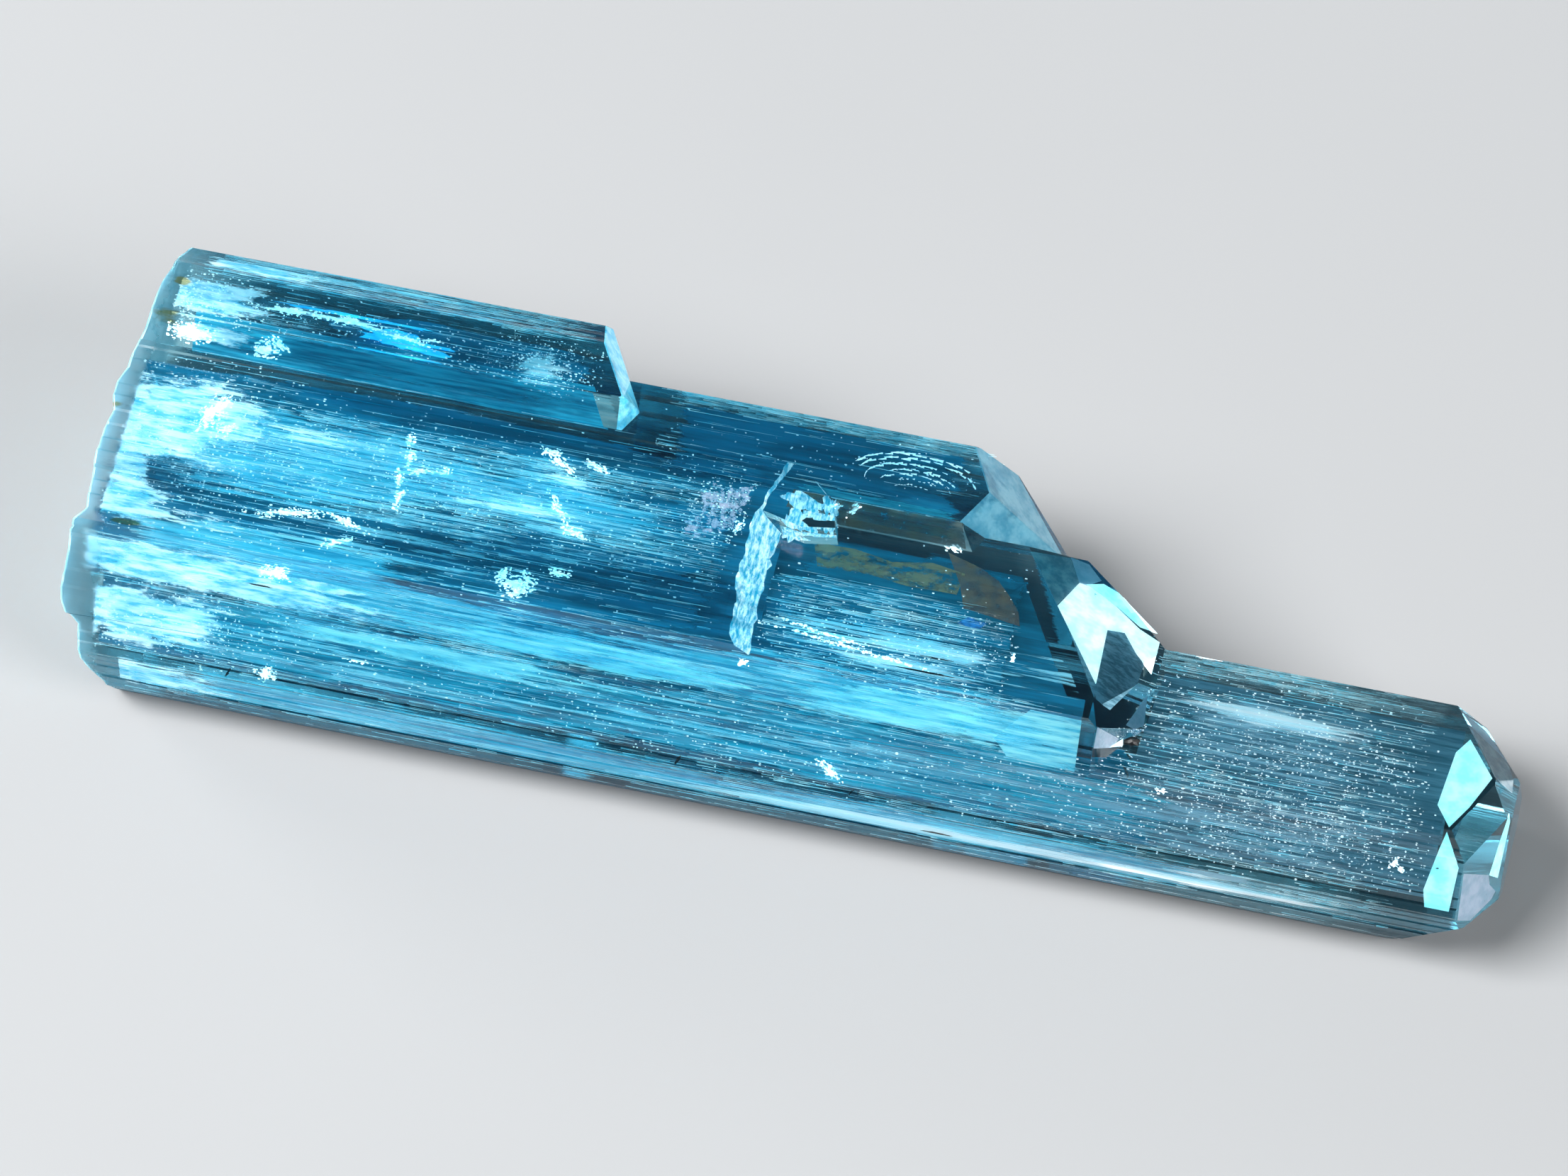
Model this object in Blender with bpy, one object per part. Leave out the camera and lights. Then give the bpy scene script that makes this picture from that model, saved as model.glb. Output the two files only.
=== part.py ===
"""Aquamarine crystal: hexagonal beryl prisms grown together side by side, lying on a prism face.

The long axis of the crystal is X, with the broken root end at -X and the clear tip at +X.
Z is up, and the crystal lies on the flat faces at Z = 0. A Station is a distance along the
crystal from its root end. Everything below is in millimetres until finish() scales it.
"""

import math
from dataclasses import dataclass, field

import bmesh
import bpy
from mathutils import Matrix, Vector, noise

MM = 0.001

# Driving dimensions, in millimetres
LENGTH = 59.75  # from the root end to the flat face of the tip
OVERRUN = 4.0  # how much too long a prism is made at the root before the root end is cut
MERGE = 0.002  # points nearer than this become one in the finished solid
PLANE_MARGIN = 0.00001  # how near a point counts as lying on a cutting plane

# Beryl's angles, in degrees
HEXAGON = 60.0  # from one prism face to the next
EDGE_PYRAMID_LEAN = 44.9  # from the axis to the normal of the pyramid face on a prism edge
FACE_PYRAMID_LEAN = 29.9  # the same for the pyramid face above a prism face
STEEP_PYRAMID_LEAN = 53.5  # the same for the steeper face on the back top edge
TAPER_LEAN = 88.25  # the same for a long face that narrows a prism slightly towards its tip

# Angles round the axis: 0 is up, positive is towards the back
UP = 0.0
BACK_UP = HEXAGON
BACK_DOWN = 2 * HEXAGON
DOWN = 3 * HEXAGON
FRONT_DOWN = -2 * HEXAGON
FRONT_UP = -HEXAGON
FRONT = -90.0
BACK = 90.0
TOP_FRONT_EDGE = -HEXAGON / 2
TOP_BACK_EDGE = HEXAGON / 2
BOTTOM_BACK_EDGE = 2.5 * HEXAGON

COLOUR = (0.30, 0.66, 0.80, 1.0)
ROUGHNESS = 0.08

# Growth steps: each is a low riser across a long face
RISER_WIDTH = 0.16  # of the room that one step has
STEP_WANDER = 0.32  # how far a step may stray from its even place, in steps


@dataclass
class Side:
    """One long face of a prism: its angle round the axis and its distance from the prism's middle.

    steps is the number of growth steps across the face, and relief their height.
    """

    around: float
    distance: float
    steps: int = 0
    relief: float = 0.0


@dataclass
class Facet:
    """One face that closes the tip: its angle round the axis, its lean from it, and its reach.

    reach is the station where its plane crosses the line through the prism's middle.
    """

    around: float
    lean: float
    reach: float


@dataclass
class Prism:
    """One prism of the group, with the middle of its section at (y, z).

    tip is the station of the flat face that ends it, square to the axis.
    """

    name: str
    y: float
    z: float
    tip: float
    sides: list[Side]
    facets: list[Facet] = field(default_factory=list)
    seed: int = 1


def outward(around):
    """The direction in the section, as (y, z), that an angle round the axis points in."""
    angle = math.radians(around)
    return math.sin(angle), math.cos(angle)


def corner(first, second):
    """Where the lines of two neighbouring sides cross, from the middle of the section."""
    ay, az = outward(first.around)
    by, bz = outward(second.around)
    spread = ay * bz - az * by
    y = (first.distance * bz - second.distance * az) / spread
    z = (second.distance * ay - first.distance * by) / spread
    return y, z


def stepped(start, end, side, seed):
    """Points along one side of a section, with the risers of its growth steps."""
    points = [start]
    run_y, run_z = end[0] - start[0], end[1] - start[1]
    out_y, out_z = outward(side.around)
    for step in range(side.steps):
        wander = STEP_WANDER * noise.noise(Vector((seed * 3.7, side.around * 0.31, step * 1.9)))
        foot = (step + 0.55 + wander) / (side.steps + 0.1)
        fall = abs(side.relief * noise.noise(Vector((step * 2.3, seed * 1.3, side.around))))
        for at, depth in ((foot, 0.0), (foot + RISER_WIDTH / side.steps, fall)):
            y = start[0] + run_y * at - out_y * depth
            z = start[1] + run_z * at - out_z * depth
            points.append((y, z))
    return points


def section(prism):
    """The outline of a prism's section as (y, z) points, going round it once."""
    points = []
    count = len(prism.sides)
    for i, side in enumerate(prism.sides):
        start = corner(prism.sides[i - 1], side)
        end = corner(side, prism.sides[(i + 1) % count])
        points.extend(stepped(start, end, side, prism.seed))
    return [(prism.y + y, prism.z + z) for y, z in points]


def extruded(outline, start, end):
    """A bmesh of an outline in the YZ plane, carried from one station to another."""
    mesh = bmesh.new()
    ring = [mesh.verts.new((start, y, z)) for y, z in outline]
    cap = mesh.faces.new(ring)
    side = bmesh.ops.extrude_face_region(mesh, geom=[cap])
    moved = [item for item in side["geom"] if isinstance(item, bmesh.types.BMVert)]
    bmesh.ops.translate(mesh, verts=moved, vec=(end - start, 0, 0))
    bmesh.ops.recalc_face_normals(mesh, faces=mesh.faces)
    return mesh


def cut(mesh, point, normal):
    """Takes away what lies outside a plane, and closes the cut."""
    everything = mesh.verts[:] + mesh.edges[:] + mesh.faces[:]
    made = bmesh.ops.bisect_plane(
        mesh,
        geom=everything,
        dist=PLANE_MARGIN,
        plane_co=point,
        plane_no=normal,
        clear_outer=True,
    )
    rim = [item for item in made["geom_cut"] if isinstance(item, bmesh.types.BMEdge)]
    if rim:
        bmesh.ops.contextual_create(mesh, geom=rim)
    bmesh.ops.recalc_face_normals(mesh, faces=mesh.faces)


def cut_facet(mesh, prism, facet):
    """Cuts one face of a prism's tip."""
    lean = math.radians(facet.lean)
    out_y, out_z = outward(facet.around)
    normal = Vector((math.cos(lean), math.sin(lean) * out_y, math.sin(lean) * out_z))
    cut(mesh, Vector((facet.reach, prism.y, prism.z)), normal)


def as_object(name, mesh):
    """Makes an object of a bmesh."""
    data = bpy.data.meshes.new(name)
    mesh.to_mesh(data)
    mesh.free()
    made = bpy.data.objects.new(name, data)
    bpy.context.scene.collection.objects.link(made)
    return made


# The prisms, in millimetres and degrees
FRONT_PRISM = Prism(
    name="front prism",
    y=3.9,
    z=3.63,
    tip=LENGTH,
    sides=[
        Side(UP, 3.64, steps=4, relief=0.05),
        Side(BACK_UP, 4.42, steps=5, relief=0.10),
        Side(BACK_DOWN, 4.41, steps=5, relief=0.10),
        Side(DOWN, 3.63),
        Side(FRONT_DOWN, 5.19, steps=4, relief=0.08),
        Side(FRONT, 4.9, steps=6, relief=0.12),
        Side(FRONT_UP, 4.38, steps=7, relief=0.09),
    ],
    facets=[
        Facet(UP, FACE_PYRAMID_LEAN, 60.95),
        Facet(TOP_FRONT_EDGE, EDGE_PYRAMID_LEAN, 62.2),
        Facet(TOP_BACK_EDGE, STEEP_PYRAMID_LEAN, 63.0),
        Facet(FRONT_UP, FACE_PYRAMID_LEAN, 60.8),
        Facet(-127.4, 67.7, 68.55),
        Facet(-132.3, 43.5, 62.3),
        Facet(DOWN, FACE_PYRAMID_LEAN, 61.2),
        Facet(BACK_UP, 64.2, 65.85),
        Facet(64.0, 41.6, 61.3),
        Facet(BACK, EDGE_PYRAMID_LEAN, 63.2),
        Facet(BACK_DOWN, FACE_PYRAMID_LEAN, 61.5),
    ],
    seed=1,
)
MIDDLE_PRISM = Prism(
    name="middle prism",
    y=5.4,
    z=5.4,
    tip=44.75,
    sides=[
        Side(UP, 3.8, steps=6, relief=0.06),
        Side(BACK_UP, 5.26, steps=4, relief=0.10),
        Side(BACK_DOWN, 5.84, steps=4, relief=0.10),
        Side(DOWN, 4.4),
        Side(FRONT_DOWN, 5.3),
        Side(FRONT_UP, 5.19, steps=5, relief=0.07),
    ],
    facets=[
        Facet(UP, 47.0, 46.65),
        Facet(FRONT_UP, 40.0, 47.25),
        Facet(16.0, 68.0, 50.15),
        Facet(62.2, 49.5, 47.25),
        Facet(BACK_UP, 54.4, 48.15),
        Facet(FRONT_DOWN, TAPER_LEAN, 162.5),
        Facet(-132.0, 45.5, 45.6),
        Facet(BACK, EDGE_PYRAMID_LEAN, 48.2),
        Facet(BACK_DOWN, FACE_PYRAMID_LEAN, 46.4),
    ],
    seed=2,
)
BACK_PRISM = Prism(
    name="back prism",
    y=11.3,
    z=5.4,
    tip=40.6,
    sides=[
        Side(UP, 4.86),
        Side(BACK_UP, 3.83, steps=6, relief=0.12),
        Side(BACK_DOWN, 3.39, steps=6, relief=0.12),
        Side(DOWN, 5.05),
        Side(FRONT_DOWN, 5.0),
        Side(FRONT_UP, 4.33),
    ],
    facets=[
        Facet(TOP_FRONT_EDGE, EDGE_PYRAMID_LEAN, 40.95),
        Facet(TOP_BACK_EDGE, EDGE_PYRAMID_LEAN, 40.45),
        Facet(BACK_UP, 67.6, 44.9),
        Facet(64.0, 42.5, 40.0),
        Facet(BACK, EDGE_PYRAMID_LEAN, 42.2),
        Facet(BOTTOM_BACK_EDGE, EDGE_PYRAMID_LEAN, 43.0),
    ],
    seed=3,
)
TOP_PRISM = Prism(
    name="top prism",
    y=12.6,
    z=5.9,
    tip=22.7,
    sides=[
        Side(UP, 5.85),
        Side(TOP_BACK_EDGE, 5.53, steps=6, relief=0.06),
        Side(BACK_UP, 4.54, steps=5, relief=0.10),
        Side(BACK, 4.3, steps=4, relief=0.12),
        Side(BACK_DOWN, 3.82, steps=5, relief=0.10),
        Side(DOWN, 5.9),
        Side(FRONT_DOWN, 4.5),
        Side(FRONT_UP, 4.31, steps=2, relief=0.04),
    ],
    facets=[
        Facet(44.0, 38.3, 23.6),
        Facet(68.5, FACE_PYRAMID_LEAN, 22.0),
        Facet(FRONT_UP, FACE_PYRAMID_LEAN, 23.55),
        Facet(107.0, 9.6, 21.3),
        Facet(BACK_DOWN, FACE_PYRAMID_LEAN, 23.8),
    ],
    seed=4,
)


def prism_object(prism):
    """One prism with its growth steps, too long at the root, and its tip cut to facets."""
    mesh = extruded(section(prism), -OVERRUN, prism.tip)
    for facet in prism.facets:
        cut_facet(mesh, prism, facet)
    return as_object(prism.name, mesh)


# The broken layer on the middle prism
LAYER_FRONT = (1.66, 9.50)  # (y, z) of its front top edge
LAYER_BACK = (10.2, 10.55)  # (y, z) of its back top edge
LAYER_FOOT = [(10.75, 9.7), (9.6, 8.4), (2.3, 8.3)]  # (y, z) corners inside the prisms
LAYER_FRONT_FOOT = (1.50, 9.16)  # (y, z) where it starts on the middle prism's front edge
LAYER_STEPS = 13
LAYER_RISER = 0.10
LAYER_RELIEF = 0.13
LAYER_CROWN = 0.22  # how much its middle stands above a straight line over its edges
BREAK_STATION = 27.45
BREAK_WIDTH = 1.0  # along the crystal, from its top edge to its foot
BREAK_BOW = 0.9  # how far the ends of the break curve on towards the tip
BREAK_RIDGES = 0.16
BREAK_YS = (0.6, 11.4, 37)  # first, last and number of the grid lines of the rough break
BREAK_ZS = (8.0, 11.6, 10)
BREAK_FLOOR = 9.0  # z at which the break ends
LAYER_END = 32.0  # station at which the layer ends before it is broken off
BREAKER_END = 34.0  # station at which the cutter that breaks it ends


def layer_level(step):
    """How far a growth step of the layer lies above or below its even top."""
    return LAYER_RELIEF * noise.noise(Vector((step * 2.9, 1.3, 2.0)))


def layer_outline():
    """The section of the broken layer: a stepped top that rises to the back."""
    run_y = LAYER_BACK[0] - LAYER_FRONT[0]
    run_z = LAYER_BACK[1] - LAYER_FRONT[1]
    points = [LAYER_FRONT_FOOT, LAYER_FRONT]
    for step in range(LAYER_STEPS):
        wander = STEP_WANDER * noise.noise(Vector((step * 1.7, 4.1, 9.0)))
        at = (step + 0.6 + wander) / (LAYER_STEPS + 0.2)
        y = LAYER_FRONT[0] + run_y * at
        z = LAYER_FRONT[1] + run_z * at + LAYER_CROWN * math.sin(math.pi * at)
        points.append((y, z + layer_level(step - 1)))
        points.append((y + LAYER_RISER, z + layer_level(step)))
    return points + [LAYER_BACK] + LAYER_FOOT


def break_station(y, z):
    """Where the break of the layer lies: curved from front to back, sloping, and ridged."""
    across = (y - LAYER_FRONT[0]) / (LAYER_BACK[0] - LAYER_FRONT[0])
    bow = BREAK_BOW * (across - 0.45) ** 2 * (2.6 if across > 0.45 else 1.1)
    top = LAYER_FRONT[1] + across * (LAYER_BACK[1] - LAYER_FRONT[1])
    depth = min(1.0, max(0.0, (top + LAYER_CROWN - z) / (top - BREAK_FLOOR)))
    ridges = BREAK_RIDGES * noise.noise(Vector((y * 2.6, z * 1.2, 5.0)))
    return BREAK_STATION + bow + BREAK_WIDTH * depth**1.4 + ridges


# The root end broke in steps that run across it, each tilted towards the back.
# The profile gives (place across the steps, how far the end stands back from station 0).
ROOT_PROFILE = [
    (-9.0, 2.6),
    (-0.5, 2.3),
    (0.4, 1.9),
    (0.9, 0.95),
    (2.4, 0.9),
    (2.9, 0.25),
    (3.4, 0.05),
    (6.7, 0.25),
    (7.1, 0.8),
    (10.6, 0.5),
    (11.6, 0.75),
    (12.2, 0.4),
    (13.0, 0.65),
    (14.3, 0.75),
    (14.7, 1.0),
    (16.7, 1.2),
    (18.2, 1.6),
    (20.0, 2.3),
]
ROOT_TILT = math.radians(35.0)  # of the line across the steps, from level towards up
ROOT_LUMPS = 0.30
ROOT_GRAIN = 0.14
ROOT_LEAST = 0.02
ROOT_YS = (-4.0, 20.0, 33)  # first, last and number of the grid lines of the rough end
ROOT_ZS = (-3.0, 14.0, 25)
ROOT_CUTTER_END = -9.0


def between(points, at):
    """The value of a bent line, given by its points, at a place along it."""
    for (a, low), (b, high) in zip(points, points[1:]):
        if at <= b:
            return low + (high - low) * max(0.0, at - a) / (b - a)
    return points[-1][1]


def root_station(y, z):
    """Where the rough root end lies: stepped, with lumps on the steps."""
    across = y * math.cos(ROOT_TILT) + z * math.sin(ROOT_TILT)
    along = y * math.sin(ROOT_TILT) - z * math.cos(ROOT_TILT)
    lumps = ROOT_LUMPS * noise.noise(Vector((along * 0.45, across * 0.5, 3.0)))
    grain = ROOT_GRAIN * noise.noise(Vector((y * 1.3, z * 1.3, 8.0)))
    return max(ROOT_LEAST, between(ROOT_PROFILE, across) + abs(lumps) + grain)


def evenly(start, end, count):
    """Numbers from start to end, both included."""
    return [start + (end - start) * i / (count - 1) for i in range(count)]


def rough_block(name, surface, y_lines, z_lines, far):
    """A block from a rough surface, given by its station, to a far station."""
    ys = evenly(*y_lines)
    zs = evenly(*z_lines)
    mesh = bmesh.new()
    near_rows = [[mesh.verts.new((surface(y, z), y, z)) for z in zs] for y in ys]
    far_rows = [[mesh.verts.new((far, y, z)) for z in zs] for y in ys]
    for rows in (near_rows, far_rows):
        for row, following in zip(rows, rows[1:]):
            for i in range(len(zs) - 1):
                mesh.faces.new((row[i], following[i], following[i + 1], row[i + 1]))
    rims = [
        (near_rows[0], far_rows[0]),
        (near_rows[-1], far_rows[-1]),
        ([row[0] for row in near_rows], [row[0] for row in far_rows]),
        ([row[-1] for row in near_rows], [row[-1] for row in far_rows]),
    ]
    for near, distant in rims:
        for i in range(len(near) - 1):
            mesh.faces.new((near[i], near[i + 1], distant[i + 1], distant[i]))
    bmesh.ops.triangulate(mesh, faces=mesh.faces)
    bmesh.ops.recalc_face_normals(mesh, faces=mesh.faces)
    return as_object(name, mesh)


def combine(target, other, operation):
    """Applies a Boolean of another object to the target, and removes the other object."""
    modifier = target.modifiers.new(operation.lower(), "BOOLEAN")
    modifier.operation = operation
    modifier.solver = "EXACT"
    modifier.object = other
    graph = bpy.context.evaluated_depsgraph_get()
    made = bpy.data.meshes.new_from_object(target.evaluated_get(graph))
    target.modifiers.clear()
    previous = target.data
    target.data = made
    bpy.data.meshes.remove(previous)
    bpy.data.objects.remove(other, do_unlink=True)


def broken_layer():
    """The layer on the middle prism, with its rough break."""
    layer = as_object("layer", extruded(layer_outline(), -OVERRUN, LAYER_END))
    breaker = rough_block("layer breaker", break_station, BREAK_YS, BREAK_ZS, BREAKER_END)
    combine(layer, breaker, "DIFFERENCE")
    return layer


# The small ledge behind the break, as (station, y) corners
LEDGE = [(27.5, 7.9), (29.6, 7.35), (30.95, 7.6), (30.6, 8.9), (29.7, 9.75), (27.5, 9.6)]
LEDGE_TOP = 10.33
LEDGE_FOOT = 8.9
LEDGE_SLOPE = 0.18  # how far its top stands back from its foot, along the crystal


def ledge():
    """The small flat ledge that is left behind the break."""
    mesh = bmesh.new()
    cap = mesh.faces.new([mesh.verts.new((x, y, LEDGE_FOOT)) for x, y in LEDGE])
    side = bmesh.ops.extrude_face_region(mesh, geom=[cap])
    moved = [item for item in side["geom"] if isinstance(item, bmesh.types.BMVert)]
    bmesh.ops.translate(mesh, verts=moved, vec=(-LEDGE_SLOPE, 0, LEDGE_TOP - LEDGE_FOOT))
    bmesh.ops.recalc_face_normals(mesh, faces=mesh.faces)
    return as_object("ledge", mesh)


# Chips along the back top edge of the front prism, as (station, size)
CHIPS = [(44.9, 0.55), (46.5, 0.8), (48.0, 0.5), (51.6, 0.35)]
CHIP_EDGE = (7.05, 7.42)  # (y, z)
CHIP_DEPTH = 0.45  # of its size


def chips():
    """Shell-shaped bites, joined in one cutter because none of them touch."""
    mesh = bmesh.new()
    for station, size in CHIPS:
        place = Matrix.Translation((station, *CHIP_EDGE))
        shape = Matrix.Diagonal((size, size * CHIP_DEPTH, size * CHIP_DEPTH, 1.0))
        bmesh.ops.create_icosphere(mesh, subdivisions=2, radius=1.0, matrix=place @ shape)
    return as_object("chips", mesh)


def clear_scene():
    """Removes what the startup scene holds."""
    for thing in list(bpy.data.objects):
        bpy.data.objects.remove(thing, do_unlink=True)


def crystal_material():
    """Pale blue, glossy and without metal."""
    material = bpy.data.materials.new("aquamarine")
    material.use_nodes = True
    shader = material.node_tree.nodes["Principled BSDF"]
    shader.inputs["Base Color"].default_value = COLOUR
    shader.inputs["Roughness"].default_value = ROUGHNESS
    shader.inputs["Metallic"].default_value = 0.0
    material.diffuse_color = COLOUR
    return material


def finish(crystal, material):
    """Tidies the solid, centres it over the origin, and scales it to metres."""
    mesh = bmesh.new()
    mesh.from_mesh(crystal.data)
    bmesh.ops.remove_doubles(mesh, verts=mesh.verts, dist=MERGE)
    bmesh.ops.dissolve_degenerate(mesh, edges=mesh.edges, dist=MERGE)
    bmesh.ops.triangulate(mesh, faces=mesh.faces)
    low = [min(vert.co[axis] for vert in mesh.verts) for axis in range(3)]
    high = [max(vert.co[axis] for vert in mesh.verts) for axis in range(3)]
    shift = (-(low[0] + high[0]) / 2, -(low[1] + high[1]) / 2, -low[2])
    bmesh.ops.translate(mesh, verts=mesh.verts, vec=shift)
    bmesh.ops.scale(mesh, verts=mesh.verts, vec=(MM, MM, MM))
    mesh.to_mesh(crystal.data)
    mesh.free()
    crystal.data.materials.clear()
    crystal.data.materials.append(material)


def main():
    clear_scene()
    crystal = prism_object(FRONT_PRISM)
    crystal.name = "crystal"
    combine(crystal, chips(), "DIFFERENCE")
    for grown in (MIDDLE_PRISM, BACK_PRISM, TOP_PRISM):
        combine(crystal, prism_object(grown), "UNION")
    combine(crystal, broken_layer(), "UNION")
    combine(crystal, ledge(), "UNION")
    root = rough_block("root cutter", root_station, ROOT_YS, ROOT_ZS, ROOT_CUTTER_END)
    combine(crystal, root, "DIFFERENCE")
    finish(crystal, crystal_material())


main()
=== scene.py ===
"""Looks of an aquamarine crystal: clear blue beryl, all that grew into it, painted light and shade.

Everything is placed in the crystal's own measures, in millimetres: a station along it from its
root end, and a place on or under one of its long faces. Ruler turns them into the row frame.
"""

import logging
import math
import random
from dataclasses import dataclass, field
from enum import Enum

import bmesh
import bpy
from mathutils import Matrix, Vector, noise


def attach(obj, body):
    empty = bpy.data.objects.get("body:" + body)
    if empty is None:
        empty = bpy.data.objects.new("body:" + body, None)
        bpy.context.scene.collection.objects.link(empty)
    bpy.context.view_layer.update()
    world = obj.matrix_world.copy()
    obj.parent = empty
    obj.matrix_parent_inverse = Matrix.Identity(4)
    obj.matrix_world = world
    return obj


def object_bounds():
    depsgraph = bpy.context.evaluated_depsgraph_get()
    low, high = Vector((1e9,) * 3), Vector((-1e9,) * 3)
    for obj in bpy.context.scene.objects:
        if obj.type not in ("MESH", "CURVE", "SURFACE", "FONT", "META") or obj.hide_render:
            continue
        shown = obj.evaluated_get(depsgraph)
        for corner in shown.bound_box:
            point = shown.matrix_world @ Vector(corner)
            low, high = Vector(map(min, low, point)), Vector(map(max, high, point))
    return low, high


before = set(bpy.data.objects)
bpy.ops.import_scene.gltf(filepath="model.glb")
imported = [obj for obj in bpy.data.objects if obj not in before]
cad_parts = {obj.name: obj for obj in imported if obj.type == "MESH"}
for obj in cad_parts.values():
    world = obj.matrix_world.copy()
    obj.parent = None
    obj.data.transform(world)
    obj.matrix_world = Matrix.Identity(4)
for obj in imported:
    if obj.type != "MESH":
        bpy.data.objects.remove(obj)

CAD_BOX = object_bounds()
NODE = "crystal"
BODY = "root"

MM = 0.001
TIP_STATION = 59.75  # of the flat face that ends the longest prism
FRONT_Y = -1.0  # of the foremost face, in the section's measures
BERYL_IOR = 1.577
EDGE_GAP = 0.06  # how near what lies under a face comes to the face's edges, in millimetres

Colour = tuple[float, float, float, float]
Range = tuple[float, float]

WHITE: Colour = (1.0, 1.0, 1.0, 1.0)
ICE: Colour = (0.62, 0.92, 1.0, 1.0)

log = logging.getLogger("aquamarine")


# ---------------------------------------------------------------- places


@dataclass(frozen=True)
class Ruler:
    """Turns the crystal's measures into the row frame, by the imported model's own box."""

    low: Vector
    high: Vector

    def offset(self) -> Vector:
        """Where station 0 and the section's origin lie, in metres."""
        return Vector(
            (self.high.x - TIP_STATION * MM, self.low.y - FRONT_Y * MM, self.low.z)
        )

    def matrix(self) -> Matrix:
        """From millimetres in the crystal's measures to metres in the row frame."""
        return Matrix.Translation(self.offset()) @ Matrix.Scale(MM, 4)

    def centred(self, station: float, y: float, z: float) -> Vector:
        """A place in the row frame, in millimetres, as the materials read it.

        Args:
            station: Distance from the root end.
            y: Place in the section, from front to back.
            z: Height.

        Returns:
            The place in millimetres.
        """
        return Vector((station, y, z)) + self.offset() / MM


RULER = Ruler(Vector(CAD_BOX[0]), Vector(CAD_BOX[1]))


@dataclass(frozen=True)
class Face:
    """A long face of the crystal, by the (y, z) of its front edge and of its back edge."""

    front: tuple[float, float]
    back: tuple[float, float]
    ends: Range = (1.0, 56.5)

    def across(self) -> Vector:
        """The unit vector from the front edge to the back edge."""
        run = Vector((0.0, self.back[0] - self.front[0], self.back[1] - self.front[1]))
        return run.normalized()

    def width(self) -> float:
        """From the front edge to the back edge."""
        return math.dist(self.front, self.back)

    def place(self, station: float, across: float, depth: float = 0.0) -> Vector:
        """A place under the face.

        Args:
            station: Distance from the root end.
            across: Distance from the front edge, along the face.
            depth: Distance below the face, into the crystal.

        Returns:
            The place in the crystal's measures.
        """
        along = self.across()
        outward = Vector((1.0, 0.0, 0.0)).cross(along)
        edge = Vector((station, self.front[0], self.front[1]))
        return edge + along * across - outward * depth

    def within(self, place: Vector) -> Vector:
        """The nearest place that isn't past the face's edges or its ends."""
        along = self.across()
        across = (place - self.place(0.0, 0.0)).dot(along)
        kept = min(max(across, EDGE_GAP), self.width() - EDGE_GAP)
        moved = place + along * (kept - across)
        moved.x = min(max(place.x, self.ends[0]), self.ends[1])
        return moved

    def lay(
        self, station: float, across: float, depth: float = 0.0, turn: float = 0.0
    ) -> Matrix:
        """The matrix that lays a shape under the face.

        Args:
            station: Distance from the root end.
            across: Distance from the front edge, along the face.
            depth: Distance below the face.
            turn: Angle in degrees by which the shape is turned in the face.

        Returns:
            Local X along the crystal, local Y across the face and local Z out of it.
        """
        along = self.across()
        outward = Vector((1.0, 0.0, 0.0)).cross(along)
        axes = Matrix((Vector((1.0, 0.0, 0.0)), along, outward)).transposed().to_4x4()
        turned = Matrix.Rotation(math.radians(turn), 4, "Z")
        return Matrix.Translation(self.place(station, across, depth)) @ axes @ turned


class Long(Enum):
    """The long faces of the four prisms and of the broken layer."""

    FRONT_STRIP = Face((-1.0, 1.73), (-1.0, 3.9), (2.6, 55.8))
    FRONT_SLOPE = Face((-1.0, 3.9), (0.945, 7.27), (1.4, 56.8))
    FRONT_TOP = Face((0.945, 7.27), (6.905, 7.27), (43.2, 56.4))
    FRONT_BACK = Face((6.905, 7.27), (9.0, 3.63), (42.0, 55.0))
    MIDDLE_SLOPE = Face((0.293, 6.94), (1.6, 9.2), (0.6, 42.0))
    MIDDLE_TOP = Face((1.6, 9.2), (9.28, 9.2), (28.6, 39.0))
    LAYER_TOP = Face((1.66, 9.5), (10.2, 10.55), (1.2, 27.2))
    BACK_SLOPE = Face((8.5, 9.2), (9.11, 10.26), (28.0, 36.0))
    BACK_TOP = Face((9.11, 10.26), (12.92, 10.26), (22.5, 36.0))
    BACK_SHOULDER = Face((12.92, 10.26), (15.47, 5.84), (22.5, 36.5))
    TOP_SLOPE = Face((10.3, 10.6), (11.0, 11.75), (2.0, 20.5))
    TOP_TOP = Face((11.0, 11.75), (13.53, 11.75), (2.0, 20.0))
    TOP_BEVEL = Face((13.53, 11.75), (14.93, 10.95), (2.4, 19.4))
    TOP_SHOULDER = Face((14.93, 10.95), (16.9, 7.53), (3.0, 19.0))


@dataclass(frozen=True)
class Facet:
    """A face that closes a prism's tip, as the solid has it.

    Its angle round the axis is 0 for up and grows towards the front or the back with its sign;
    lean is the angle from the axis to its normal, and reach the station where its plane crosses
    the line through the prism's middle.
    """

    around: float
    lean: float
    reach: float
    middle: tuple[float, float]

    def outward(self) -> Vector:
        """The unit vector out of the crystal."""
        around, lean = math.radians(self.around), math.radians(self.lean)
        side = math.sin(lean)
        return Vector((math.cos(lean), side * math.sin(around), side * math.cos(around)))

    def place(self, station: float, y: float, depth: float = 0.0) -> Vector:
        """A place under the facet.

        Args:
            station: Distance from the root end.
            y: Place in the section, from front to back.
            depth: Distance below the facet, into the crystal.

        Returns:
            The place in the crystal's measures.
        """
        out = self.outward()
        rise = out.x * (station - self.reach) + out.y * (y - self.middle[0])
        return Vector((station, y, self.middle[1] - rise / out.z)) - out * depth


FRONT_MIDDLE = (3.9, 3.63)
MIDDLE_MIDDLE = (5.4, 5.4)


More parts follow.
